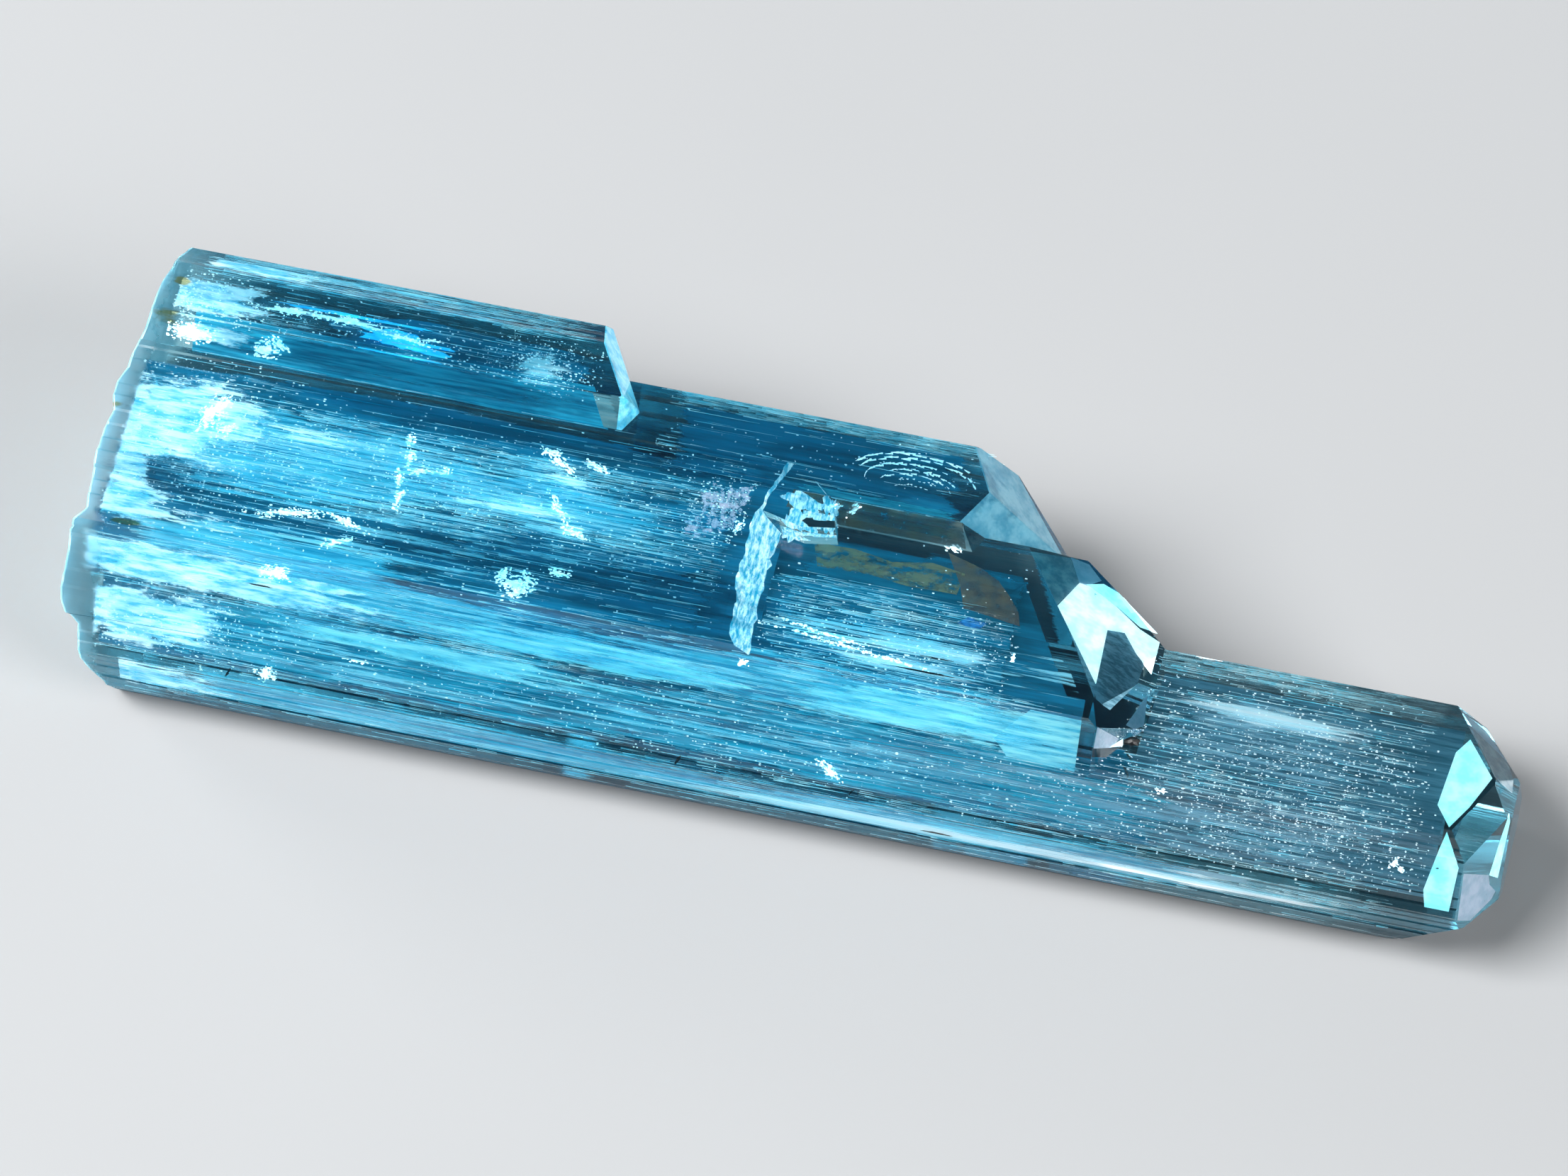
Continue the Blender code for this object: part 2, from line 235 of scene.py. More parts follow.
class Tip(Enum):
    """The facets of the two front prisms' tips, under which painted highlights, painted reflections
    and painted shade are laid.
    """

    MIDDLE_SLANT = Facet(16.0, 68.0, 50.15, MIDDLE_MIDDLE)
    MIDDLE_UP = Facet(0.0, 47.0, 46.65, MIDDLE_MIDDLE)
    MIDDLE_FRONT = Facet(-60.0, 40.0, 47.25, MIDDLE_MIDDLE)
    FRONT_SLANT = Facet(30.0, 53.5, 63.0, FRONT_MIDDLE)
    FRONT_FRONT = Facet(-60.0, 29.9, 60.8, FRONT_MIDDLE)


# ---------------------------------------------------------------- node trees


class Tree:
    """A node tree with short ways to add and join nodes."""

    def __init__(self, tree: bpy.types.NodeTree) -> None:
        """Wraps a tree."""
        self.tree = tree

    def add(self, kind: str, **values: object) -> bpy.types.Node:
        """Adds a node.

        Args:
            kind: Blender's type name of the node.
            **values: Attributes to set on it.

        Returns:
            The node.
        """
        node = self.tree.nodes.new(kind)
        for name, value in values.items():
            setattr(node, name, value)
        return node

    def feed(self, target: bpy.types.NodeSocket, value: object) -> None:
        """Links a socket to an input, or sets the input's own value."""
        if isinstance(value, bpy.types.NodeSocket):
            self.tree.links.new(value, target)
        else:
            target.default_value = value

    def math(self, operation: str, *values: object, clamp: bool = False) -> bpy.types.NodeSocket:
        """Adds a Math node.

        Args:
            operation: What it does.
            *values: Its inputs, as sockets or numbers.
            clamp: Whether the result is kept between 0 and 1.

        Returns:
            Its output.
        """
        node = self.add("ShaderNodeMath", operation=operation, use_clamp=clamp)
        for target, value in zip(node.inputs, values):
            self.feed(target, value)
        return node.outputs[0]

    def ramp(self, value: object, low: float, high: float) -> bpy.types.NodeSocket:
        """A smooth step from 0 at low to 1 at high; it falls where low is above high."""
        node = self.add("ShaderNodeMapRange", interpolation_type="SMOOTHSTEP")
        falls = low > high
        self.feed(node.inputs["Value"], value)
        node.inputs["From Min"].default_value = min(low, high)
        node.inputs["From Max"].default_value = max(low, high)
        node.inputs["To Min"].default_value = 1.0 if falls else 0.0
        node.inputs["To Max"].default_value = 0.0 if falls else 1.0
        return node.outputs["Result"]

    def mix(self, mask: object, first: object, second: object) -> bpy.types.NodeSocket:
        """Mixes two colours by a mask."""
        node = self.add("ShaderNodeMix", data_type="RGBA")
        self.feed(node.inputs["Factor"], mask)
        self.feed(node.inputs[6], first)
        self.feed(node.inputs[7], second)
        return node.outputs[2]

    def stretched(
        self, vector: bpy.types.NodeSocket, scale: tuple[float, float, float]
    ) -> bpy.types.NodeSocket:
        """A vector scaled on each axis."""
        node = self.add("ShaderNodeMapping")
        self.feed(node.inputs["Vector"], vector)
        node.inputs["Scale"].default_value = scale
        return node.outputs["Vector"]

    def noise(
        self,
        vector: bpy.types.NodeSocket,
        scale: tuple[float, float, float],
        detail: float = 3.0,
        roughness: float = 0.55,
    ) -> bpy.types.NodeSocket:
        """A noise value.

        Args:
            vector: Place in millimetres.
            scale: Lumps for each millimetre, on each axis.
            detail: Octaves.
            roughness: How strong the finer octaves are.

        Returns:
            A value near 0.5 that varies from place to place.
        """
        node = self.add("ShaderNodeTexNoise")
        self.feed(node.inputs["Vector"], self.stretched(vector, scale))
        node.inputs["Scale"].default_value = 1.0
        node.inputs["Detail"].default_value = detail
        node.inputs["Roughness"].default_value = roughness
        return node.outputs["Fac"]

    def millimetres(self) -> bpy.types.NodeSocket:
        """The object's own coordinates, in millimetres."""
        coordinates = self.add("ShaderNodeTexCoord")
        return self.stretched(coordinates.outputs["Object"], (1 / MM, 1 / MM, 1 / MM))

    def group(self, tree: bpy.types.NodeTree, **values: object) -> bpy.types.Node:
        """Places a node group and feeds its inputs by name."""
        node = self.add("ShaderNodeGroup", node_tree=tree)
        for name, value in values.items():
            self.feed(node.inputs[name], value)
        return node


def new_group(
    name: str, inputs: dict[str, object], outputs: dict[str, str]
) -> tuple[bpy.types.NodeTree, Tree, bpy.types.Node, bpy.types.Node]:
    """Starts a shader node group.

    Args:
        name: The group's name.
        inputs: Each input's name with its default: a number, or a tuple for a vector.
        outputs: Each output's name with its socket type.

    Returns:
        The group, its tree, its input node and its output node.
    """
    made = bpy.data.node_groups.new(name, "ShaderNodeTree")
    for label, default in inputs.items():
        kind = "NodeSocketVector" if isinstance(default, tuple) else "NodeSocketFloat"
        socket = made.interface.new_socket(label, in_out="INPUT", socket_type=kind)
        socket.default_value = default
    for label, kind in outputs.items():
        made.interface.new_socket(label, in_out="OUTPUT", socket_type=kind)
    tree = Tree(made)
    return made, tree, tree.add("NodeGroupInput"), tree.add("NodeGroupOutput")


STEP_WEIGHT = 1.5  # how strong the broad growth steps are beside the fine lines
DASH_WEIGHT = 0.6
LINE_LEVELS = (0.72, 1.02)  # where a line starts to show, and where it is full
RAGGED_REACH = 3.0  # how far a fully ragged edge strays, as a share of the patch
PATCH_LEVELS = (1.15, 0.7)  # the shares of a patch's size where it is gone, and where it is full
SPECK_WEIGHT = 0.45
BARE_LEVEL = 1.05  # above it, a finish with no cover shows nothing
COVER_SPAN = 0.6
MASK_EDGE = 0.09  # half the width of a mask's soft edge
SHADE_LEVELS = (0.35, 0.65)
ROUGHNESS_SPREAD = 0.2


class Effects:
    """The shader node groups that the materials share, each built once."""

    def __init__(self) -> None:
        """Builds the groups."""
        self.growth_lines = self._growth_lines()
        self.patch = self._patch()
        self.mottle = self._mottle()

    def _growth_lines(self) -> bpy.types.NodeTree:
        """Fine lines along the crystal: broad growth steps, fine striations and dashes."""
        made, tree, given, result = new_group(
            "growth lines",
            {"Vector": (0.0, 0.0, 0.0)},
            {"Height": "NodeSocketFloat", "Lines": "NodeSocketFloat"},
        )
        place = given.outputs["Vector"]
        broad = tree.noise(place, (0.03, 1.6, 1.6), detail=2.0)
        fine = tree.noise(place, (0.10, 7.0, 7.0), detail=3.0, roughness=0.65)
        dashes = tree.noise(place, (0.55, 11.0, 11.0), detail=2.0)
        height = tree.math("MULTIPLY_ADD", broad, STEP_WEIGHT, fine)
        dashed = tree.math("MULTIPLY_ADD", dashes, DASH_WEIGHT, fine)
        lines = tree.ramp(dashed, *LINE_LEVELS)
        tree.feed(result.inputs["Height"], height)
        tree.feed(result.inputs["Lines"], lines)
        return made

    def _patch(self) -> bpy.types.NodeTree:
        """A soft, ragged ellipsoid: 1 in its middle and 0 outside."""
        made, tree, given, result = new_group(
            "patch",
            {
                "Vector": (0.0, 0.0, 0.0),
                "Centre": (0.0, 0.0, 0.0),
                "Size": (1.0, 1.0, 1.0),
                "Ragged": 0.5,
                "Lumps": 0.5,
            },
            {"Mask": "NodeSocketFloat"},
        )
        away = tree.add("ShaderNodeVectorMath", operation="SUBTRACT")
        tree.feed(away.inputs[0], given.outputs["Vector"])
        tree.feed(away.inputs[1], given.outputs["Centre"])
        scaled = tree.add("ShaderNodeVectorMath", operation="DIVIDE")
        tree.feed(scaled.inputs[0], away.outputs[0])
        tree.feed(scaled.inputs[1], given.outputs["Size"])
        length = tree.add("ShaderNodeVectorMath", operation="LENGTH")
        tree.feed(length.inputs[0], scaled.outputs[0])
        lumps = tree.math("SUBTRACT", given.outputs["Lumps"], 0.5)
        push = tree.math("MULTIPLY", lumps, given.outputs["Ragged"])
        stray = tree.math("MULTIPLY", push, RAGGED_REACH)
        reach = tree.math("ADD", length.outputs["Value"], stray)
        tree.feed(result.inputs["Mask"], tree.ramp(reach, *PATCH_LEVELS))
        return made

    def _mottle(self) -> bpy.types.NodeTree:
        """Specks and wisps, for what is only partly there."""
        made, tree, given, result = new_group(
            "mottle",
            {
                "Vector": (0.0, 0.0, 0.0),
                "Cover": 0.5,
                "Stretch": 1.0,
                "Fineness": 1.0,
                "Sharpness": 1.0,
            },
            {"Mask": "NodeSocketFloat", "Shade": "NodeSocketFloat"},
        )
        stretch = tree.add("ShaderNodeCombineXYZ")
        fineness = given.outputs["Fineness"]
        tree.feed(stretch.inputs["X"], tree.math("DIVIDE", fineness, given.outputs["Stretch"]))
        tree.feed(stretch.inputs["Y"], fineness)
        tree.feed(stretch.inputs["Z"], fineness)
        scaled = tree.add("ShaderNodeVectorMath", operation="MULTIPLY")
        tree.feed(scaled.inputs[0], given.outputs["Vector"])
        tree.feed(scaled.inputs[1], stretch.outputs[0])
        place = scaled.outputs[0]
        wisps = tree.noise(place, (1.2, 1.2, 1.2), detail=3.0, roughness=0.65)
        specks = tree.noise(place, (7.0, 7.0, 7.0), detail=2.0)
        both = tree.math("MULTIPLY_ADD", specks, SPECK_WEIGHT, wisps)
        cover = tree.math("MULTIPLY", given.outputs["Cover"], COVER_SPAN)
        least = tree.math("SUBTRACT", BARE_LEVEL, cover)
        over = tree.math("SUBTRACT", both, least)
        over = tree.math("MULTIPLY", over, given.outputs["Sharpness"])
        tree.feed(result.inputs["Mask"], tree.ramp(over, -MASK_EDGE, MASK_EDGE))
        tree.feed(result.inputs["Shade"], wisps)
        return made


# ---------------------------------------------------------------- finishes


def new_material(name: str) -> tuple[bpy.types.Material, Tree, bpy.types.Node]:
    """Starts a material.

    Args:
        name: The material's name.

    Returns:
        The material, its tree and its Principled BSDF.
    """
    material = bpy.data.materials.new(name)
    material.use_nodes = True
    return material, Tree(material.node_tree), material.node_tree.nodes["Principled BSDF"]


@dataclass(frozen=True)
class Patch:
    """A ragged patch of a finish, round a place under a face."""

    face: Long
    station: float
    across: float
    size: tuple[float, float, float]
    ragged: float = 0.5

    def centre(self) -> Vector:
        """Its middle in the row frame, in millimetres."""
        return RULER.centred(*self.face.value.place(self.station, self.across))


@dataclass(frozen=True)
class BerylGlass:
    """The clear blue crystal: striated, bluer towards the root, and frosted where it broke; painted
    shade darkens it in patches, on its underside and on its back faces.
    """

    deep: Colour = (0.14, 0.62, 0.82, 1.0)
    middle: Colour = (0.34, 0.80, 0.93, 1.0)
    pale: Colour = (0.80, 0.89, 0.94, 1.0)
    milky: Colour = (0.80, 0.97, 1.0, 1.0)
    # Painted shade: the dark colour laid on the glass in patches, where its clear parts look dark.
    painted_window: Colour = (0.02, 0.22, 0.33, 1.0)
    # Painted shade: the colour of the faces that look down, at the root end and at the tip end.
    painted_shade_under_root: Colour = (0.0005, 0.11, 0.19, 1.0)
    painted_shade_under_tip: Colour = (0.012, 0.065, 0.095, 1.0)
    # Painted shade: the colour of the faces that look back, at the root end and at the tip end.
    painted_shade_back_root: Colour = (0.02, 0.30, 0.46, 1.0)
    painted_shade_back_tip: Colour = (0.30, 0.40, 0.46, 1.0)
    transmission: float = 1.0
    clear_roughness: float = 0.03
    frost_roughness: float = 0.55
    under_roughness: float = 0.35
    absorption: Colour = (0.10, 0.75, 0.86, 1.0)
    absorption_density: float = 60.0
    bump_strength: float = 0.25
    bump_distance: float = 0.00003
    line_roughness: float = 0.05
    milk_roughness: float = 0.22
    streaks: float = 0.7  # how strongly the growth lines whiten the glass
    painted_window_strength: float = 0.85
    drift: float = 16.0  # how far the zones' borders wander along the crystal, in millimetres
    pale_zone: Range = (24.0, 46.0)
    deep_zone: Range = (44.0, 26.0)
    milky_zone: Range = (9.0, 1.5)
    # Where the painted shade of the underside and of the back faces passes from its root colour to
    # its tip colour.
    under_zone: Range = (30.0, 48.0)
    painted_windows: tuple[Patch, ...] = ()
    stains: tuple[Patch, ...] = ()
    stain: Colour = (0.42, 0.24, 0.06, 1.0)
    root_frost: float = 1.3

    def _patches(
        self,
        tree: Tree,
        effects: Effects,
        place: bpy.types.NodeSocket,
        lumps: bpy.types.NodeSocket,
        patches: tuple[Patch, ...],
    ) -> bpy.types.NodeSocket:
        """The largest of some patches' masks.

        Args:
            tree: The material's tree.
            effects: The shared groups.
            place: The place in millimetres.
            lumps: The noise that makes the patches' edges ragged.
            patches: The patches.

        Returns:
            One mask.
        """
        mask: object = 0.0
        for patch in patches:
            node = tree.group(
                effects.patch,
                Vector=place,
                Centre=patch.centre(),
                Size=patch.size,
                Ragged=patch.ragged,
                Lumps=lumps,
            )
            mask = tree.math("MAXIMUM", mask, node.outputs["Mask"])
        return mask

    def make(self, effects: Effects) -> bpy.types.Material:
        """Builds the material.

        Args:
            effects: The shared node groups.

        Returns:
            The material.
        """
        material, tree, shader = new_material("aquamarine")
        place = tree.millimetres()
        split = tree.add("ShaderNodeSeparateXYZ")
        tree.feed(split.inputs[0], place)
        offset = RULER.offset() / MM
        station = tree.math("SUBTRACT", split.outputs["X"], offset.x)
        lines = tree.group(effects.growth_lines, Vector=place)
        drift = tree.noise(place, (0.06, 0.5, 0.5), detail=3.0)
        wander = tree.math("MULTIPLY", tree.math("SUBTRACT", drift, 0.5), self.drift)
        zone = tree.math("ADD", station, wander)
        colour = tree.mix(tree.ramp(zone, *self.pale_zone), self.middle, self.pale)
        depths = tree.ramp(tree.noise(place, (0.05, 0.9, 0.9), detail=2.0), 0.42, 0.62)
        deep = tree.math("MULTIPLY", depths, tree.ramp(zone, *self.deep_zone))
        colour = tree.mix(deep, colour, self.deep)
        root = tree.ramp(zone, *self.milky_zone)
        milk = tree.math("MULTIPLY", root, tree.math("MULTIPLY_ADD", drift, 0.8, 0.3))
        streaks = tree.math("MULTIPLY", lines.outputs["Lines"], self.streaks)
        colour = tree.mix(tree.math("MAXIMUM", milk, streaks, clamp=True), colour, self.milky)
        ragged = tree.noise(place, (0.5, 2.0, 2.0), detail=4.0)
        # Painted shade: dark patches in the base colour.
        painted_window = self._patches(tree, effects, place, ragged, self.painted_windows)
        painted_window = tree.math("MULTIPLY", painted_window, self.painted_window_strength)
        colour = tree.mix(painted_window, colour, self.painted_window)
        stain = self._patches(tree, effects, place, ragged, self.stains)
        colour = tree.mix(stain, colour, self.stain)
        normal = tree.add("ShaderNodeNewGeometry")
        facing = tree.add("ShaderNodeSeparateXYZ")
        tree.feed(facing.inputs[0], normal.outputs["True Normal"])
        tipward = tree.ramp(zone, *self.under_zone)
        # Painted shade for the faces that look down.
        under = tree.mix(tipward, self.painted_shade_under_root, self.painted_shade_under_tip)
        # Painted shade for the faces that look back.
        painted_back_shade = tree.mix(tipward, self.painted_shade_back_root, self.painted_shade_back_tip)
        colour = tree.mix(tree.ramp(facing.outputs["Y"], 0.6, 0.75), colour, painted_back_shade)
        # The faces that look down get the painted shade.
        down = tree.ramp(facing.outputs["Z"], -0.3, -0.45)
        colour = tree.mix(down, colour, under)
        tree.feed(shader.inputs["Base Color"], colour)

        along = tree.math("ABSOLUTE", facing.outputs["X"])
        long_face = tree.ramp(along, 0.30, 0.12)
        lumps = tree.noise(place, (1.3, 1.3, 1.3), detail=3.0, roughness=0.7)
        broken = tree.math("ADD", station, tree.math("MULTIPLY", lumps, -1.6))
        frost = tree.ramp(broken, self.root_frost, 0.1)
        rough = tree.math("MULTIPLY", lines.outputs["Lines"], self.line_roughness)
        rough = tree.math("MULTIPLY", rough, long_face)
        rough = tree.math("MAXIMUM", rough, tree.math("MULTIPLY", milk, self.milk_roughness))
        rough = tree.math("MAXIMUM", rough, tree.math("MULTIPLY", frost, self.frost_roughness))
        rough = tree.math("MAXIMUM", rough, tree.math("MULTIPLY", down, self.under_roughness))
        rough = tree.math("ADD", rough, self.clear_roughness)
        tree.feed(shader.inputs["Roughness"], rough)

        height = tree.math("MULTIPLY", lines.outputs["Height"], long_face)
        height = tree.math("ADD", height, tree.math("MULTIPLY", lumps, frost))
        bump = tree.add("ShaderNodeBump")
        bump.inputs["Strength"].default_value = self.bump_strength
        bump.inputs["Distance"].default_value = self.bump_distance
        tree.feed(bump.inputs["Height"], height)
        tree.feed(shader.inputs["Normal"], bump.outputs["Normal"])

        shader.inputs["Transmission Weight"].default_value = self.transmission
        shader.inputs["IOR"].default_value = BERYL_IOR
        volume = tree.add("ShaderNodeVolumeAbsorption")
        volume.inputs["Color"].default_value = self.absorption
        volume.inputs["Density"].default_value = self.absorption_density
        output = material.node_tree.nodes["Material Output"]
        tree.feed(output.inputs["Volume"], volume.outputs["Volume"])
        return material


@dataclass(frozen=True)
class Inclusion:
    """What is grown into the crystal, or laid in it as painted light or shade: a colour that
    varies, wisps where it thins out, and a painted glow.
    """

    name: str
    light: Colour
    dark: Colour
    cover: float = 1.0
    opacity: float = 1.0
    stretch: float = 1.0
    fineness: float = 1.0
    sharpness: float = 1.5
    roughness: float = 0.6
    # Painted light: emission that stands in for the light reaching the inclusion through the glass.
    painted_glow: float = 0.0
    soft: float = 0.0  # the share of a plate's radius over which it thins out

    def make(self, effects: Effects) -> bpy.types.Material:
        """Builds the material.

        Args:
            effects: The shared node groups.

        Returns:
            The material.
        """
        material, tree, shader = new_material(self.name)
        place = tree.millimetres()
        cover: object = self.cover
        if self.soft > 0.0:
            depth = tree.add("ShaderNodeAttribute", attribute_name=PLATE_DEPTH)
            thick = tree.ramp(depth.outputs["Fac"], 0.0, self.soft)
            cover = tree.math("MULTIPLY", thick, self.cover)
        mottle = tree.group(
            effects.mottle,
            Vector=place,
            Cover=cover,
            Stretch=self.stretch,
            Fineness=self.fineness,
            Sharpness=self.sharpness,
        )
        shade = tree.ramp(mottle.outputs["Shade"], *SHADE_LEVELS)
        colour = tree.mix(shade, self.dark, self.light)
        tree.feed(shader.inputs["Base Color"], colour)
        least = self.roughness - ROUGHNESS_SPREAD / 2
        rough = tree.math("MULTIPLY_ADD", shade, ROUGHNESS_SPREAD, least)
        tree.feed(shader.inputs["Roughness"], rough)
        if self.cover < 1.0 or self.opacity < 1.0:
            alpha = tree.math("MULTIPLY", mottle.outputs["Mask"], self.opacity)
            tree.feed(shader.inputs["Alpha"], alpha)
        # Painted light: the colour glows, though it is no lamp.
        if self.painted_glow > 0.0:
            tree.feed(shader.inputs["Emission Color"], colour)
            shader.inputs["Emission Strength"].default_value = self.painted_glow
        return material


# ---------------------------------------------------------------- small shapes


SHAPES_IN_A_PART = 40
PLATE_DEPTH = "plate_depth"  # 1 in the middle of a plate and 0 at its rim
TUBE_SIDES = 4
TUBE_TAPER = 0.25  # a tube's thin end, as a share of its thick end
PLATE_CORNERS = 28
PLATE_STRAY = 1.7  # turns a plate's raggedness into the reach of its noise
PLATE_WAVES = 2.3
PLATE_THICKNESS = 0.03
JOIN_DISTANCE = 0.001  # corners nearer than this are one, in millimetres
SKIN_MARGIN = 0.02  # how far a skin stays inside the crystal's box, in millimetres
GRAIN_MARGIN = 0.12  # how far the small lumps of a plate stray from it, in millimetres


class Growth:
    """A mesh made of many small closed shapes, in the crystal's measures."""

    def __init__(self, name: str, seed: int) -> None:
        """Starts an empty mesh with its own random numbers."""
        self.name = name
        self.mesh = bmesh.new()
        self.mesh.verts.layers.float.new(PLATE_DEPTH)
        self.parts: list[bpy.types.Mesh] = []
        self.shapes = 0
        self.random = random.Random(seed)

    def _set_aside(self) -> None:
        """Moves the mesh into the parts, because operators slow down on a large mesh."""
        part = bpy.data.meshes.new(f"{self.name} part")
        self.mesh.to_mesh(part)
        self.mesh.clear()
        self.mesh.verts.layers.float.new(PLATE_DEPTH)
        self.parts.append(part)

    def _count(self) -> None:
        """Counts a small shape."""
        self.shapes += 1
        if self.shapes % SHAPES_IN_A_PART == 0:
            self._set_aside()

    def between(self, limits: Range) -> float:
        """A random number between two limits."""
        return self.random.uniform(*limits)

    def needle(self, place: Matrix, length: float, radius: float) -> None:
        """Adds a fine tube along local X that tapers to one end.

        Args:
            place: Where its middle lies.
            length: Its length.
            radius: Its radius at the thick end.
        """
        lie = Matrix.Rotation(math.radians(90.0), 4, "Y")
        bmesh.ops.create_cone(
            self.mesh,
            cap_ends=True,
            segments=TUBE_SIDES,
            radius1=radius,
            radius2=radius * TUBE_TAPER,
            depth=length,
            matrix=place @ lie,
        )
        self._count()

    def grain(self, place: Matrix, size: tuple[float, float, float]) -> None:
        """Adds a small lump with 20 faces.

        Args:
            place: Where its middle lies.
            size: Its half-size on each local axis.
        """
        shape = Matrix.Diagonal((*size, 1.0))
        made = bmesh.ops.create_icosphere(
            self.mesh, subdivisions=1, radius=1.0, matrix=place @ shape
        )
        layer = self.mesh.verts.layers.float[PLATE_DEPTH]
        for vert in made["verts"]:
            vert[layer] = 1.0
        self._count()

    def plate(
        self, face: Face, place: Matrix, size: tuple[float, float], ragged: float
    ) -> None:
        """Adds a thin plate with a ragged outline.

        Args:
            face: The face under which it stays.
            place: Where its middle lies, with local Z square to it.
            size: Its half-length along local X and half-width along local Y.
            ragged: How far its outline strays, as a share of its size.
        """
        made = bmesh.ops.create_circle(
            self.mesh, cap_ends=True, cap_tris=True, segments=PLATE_CORNERS, radius=1.0
        )
        layer = self.mesh.verts.layers.float[PLATE_DEPTH]
        phase = self.random.uniform(0.0, 50.0)
        for vert in made["verts"]:
            vert[layer] = 1.0 - vert.co.length
            wave = noise.noise(vert.co * PLATE_WAVES + Vector((phase, 0.0, 0.0)))
            stray = 1.0 + ragged * PLATE_STRAY * wave
            vert.co.x *= size[0] * stray
            vert.co.y *= size[1] * stray
        flat = list({fan for vert in made["verts"] for fan in vert.link_faces})
        top = bmesh.ops.extrude_face_region(self.mesh, geom=flat)
        raised = [item for item in top["geom"] if isinstance(item, bmesh.types.BMVert)]
        bmesh.ops.translate(self.mesh, verts=raised, vec=(0.0, 0.0, PLATE_THICKNESS))
        for vert in made["verts"] + raised:
            vert.co = face.within(place @ vert.co)
        self._count()

    def skin(
        self,
        node: bpy.types.Object,
        low: Vector,
        high: Vector,
        towards: Vector,
        least: float,
        depth: float,
        thickness: float,
    ) -> None:
        """Adds a thin layer just under those faces of a node that lie in a box and look one way.

        Args:
            node: The node, which stays as it is.
            low: The box's low corner.
            high: The box's high corner.
            towards: The direction in which the faces look.
            least: The least cosine between that direction and a face's normal.
            depth: How far under the faces the layer lies.
            thickness: How thick it is.
        """
        self.mesh.from_mesh(node.data)
        into = RULER.matrix().inverted() @ node.matrix_world
        bmesh.ops.transform(self.mesh, matrix=into, verts=self.mesh.verts)
        self.mesh.normal_update()
        away = []
        for face in self.mesh.faces:
            middle = face.calc_center_median()
            inside = all(a <= b <= c for a, b, c in zip(low, middle, high))
            if not inside or face.normal.dot(towards) < least:
                away.append(face)
        bmesh.ops.delete(self.mesh, geom=away, context="FACES")
        bmesh.ops.remove_doubles(self.mesh, verts=self.mesh.verts, dist=JOIN_DISTANCE)
        self.mesh.normal_update()
        for vert in self.mesh.verts:
            vert.co -= vert.normal * depth
        bmesh.ops.solidify(self.mesh, geom=self.mesh.faces[:], thickness=thickness)
        box = [into @ Vector(corner) for corner in node.bound_box]
        for axis in range(3):
            start = min(corner[axis] for corner in box) + SKIN_MARGIN
            end = max(corner[axis] for corner in box) - SKIN_MARGIN
            for vert in self.mesh.verts:
                vert.co[axis] = min(max(vert.co[axis], start), end)

    def outline(self, corners: list[Vector], outward: Vector) -> None:
        """Adds a flat plate with a given outline.

        Args:
            corners: Its corners in order.
            outward: The direction in which it has its thickness.
        """
        face = self.mesh.faces.new([self.mesh.verts.new(corner) for corner in corners])
        layer = self.mesh.verts.layers.float[PLATE_DEPTH]
        for vert in face.verts:
            vert[layer] = 1.0
        top = bmesh.ops.extrude_face_region(self.mesh, geom=[face])
        raised = [item for item in top["geom"] if isinstance(item, bmesh.types.BMVert)]
        bmesh.ops.translate(self.mesh, verts=raised, vec=outward * PLATE_THICKNESS)

    def finish(self, material: bpy.types.Material) -> bpy.types.Object:
        """Makes the object in the row frame and hangs it on the body.

        Args:
            material: Its material.

        Returns:
            The object.
        """
        self._set_aside()
        for part in self.parts:
            self.mesh.from_mesh(part)
            bpy.data.meshes.remove(part)
        bmesh.ops.recalc_face_normals(self.mesh, faces=self.mesh.faces)
        bmesh.ops.transform(self.mesh, matrix=RULER.matrix(), verts=self.mesh.verts)
        data = bpy.data.meshes.new(self.name)
        self.mesh.to_mesh(data)
        self.mesh.free()
        data.materials.append(material)
        piece = bpy.data.objects.new(self.name, data)
        bpy.context.scene.collection.objects.link(piece)
        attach(piece, BODY)
        log.info("%s: %d faces", self.name, len(data.polygons))
        return piece


# ---------------------------------------------------------------- what grew in the crystal, and painted light and shade


@dataclass(frozen=True)
class Bundle:
    """Fine tubes that run along the crystal under one of its faces."""

    face: Long
    stations: Range
    across: Range
    count: int
    depth: Range = (0.1, 1.2)
    length: Range = (0.5, 4.0)
    radius: Range = (0.006, 0.018)


@dataclass
class GrowthTubes:
    """The silk of the crystal: hollow tubes and fibres along its axis."""

    bundles: list[Bundle]
    light: Inclusion = Inclusion(
        "silk", (0.85, 1.0, 1.0, 1.0), (0.20, 0.72, 0.88, 1.0), roughness=0.4, painted_glow=0.10
    )

    def build(self, effects: Effects) -> bpy.types.Object:
        """Builds all the bundles in one mesh."""
        growth = Growth("growth_tubes", seed=11)
        for bundle in self.bundles:
            face = bundle.face.value
            start = max(bundle.stations[0], face.ends[0])
            end = min(bundle.stations[1], face.ends[1])
            for _ in range(bundle.count):
                short = growth.random.random() ** 2
                length = bundle.length[0] + short * (bundle.length[1] - bundle.length[0])
                station = growth.between((start + length / 2, end - length / 2))
                place = face.lay(
                    station,
                    growth.between(bundle.across),
                    growth.between(bundle.depth),
                    growth.between((-0.4, 0.4)),
                )
                growth.needle(place, length, growth.between(bundle.radius))
        return growth.finish(self.light.make(effects))


@dataclass(frozen=True)
class Cloud:
    """Pinpoints, scattered round a place under a face."""

    face: Long
    station: float
    across: float
    spread: tuple[float, float, float]
    count: int
    depth: float = 0.5
    size: Range = (0.010, 0.034)


CLOUD_RIM = 0.08  # how near a pinpoint comes to its face's edges, in millimetres
CLOUD_TOP = 0.06  # how near it comes to the face


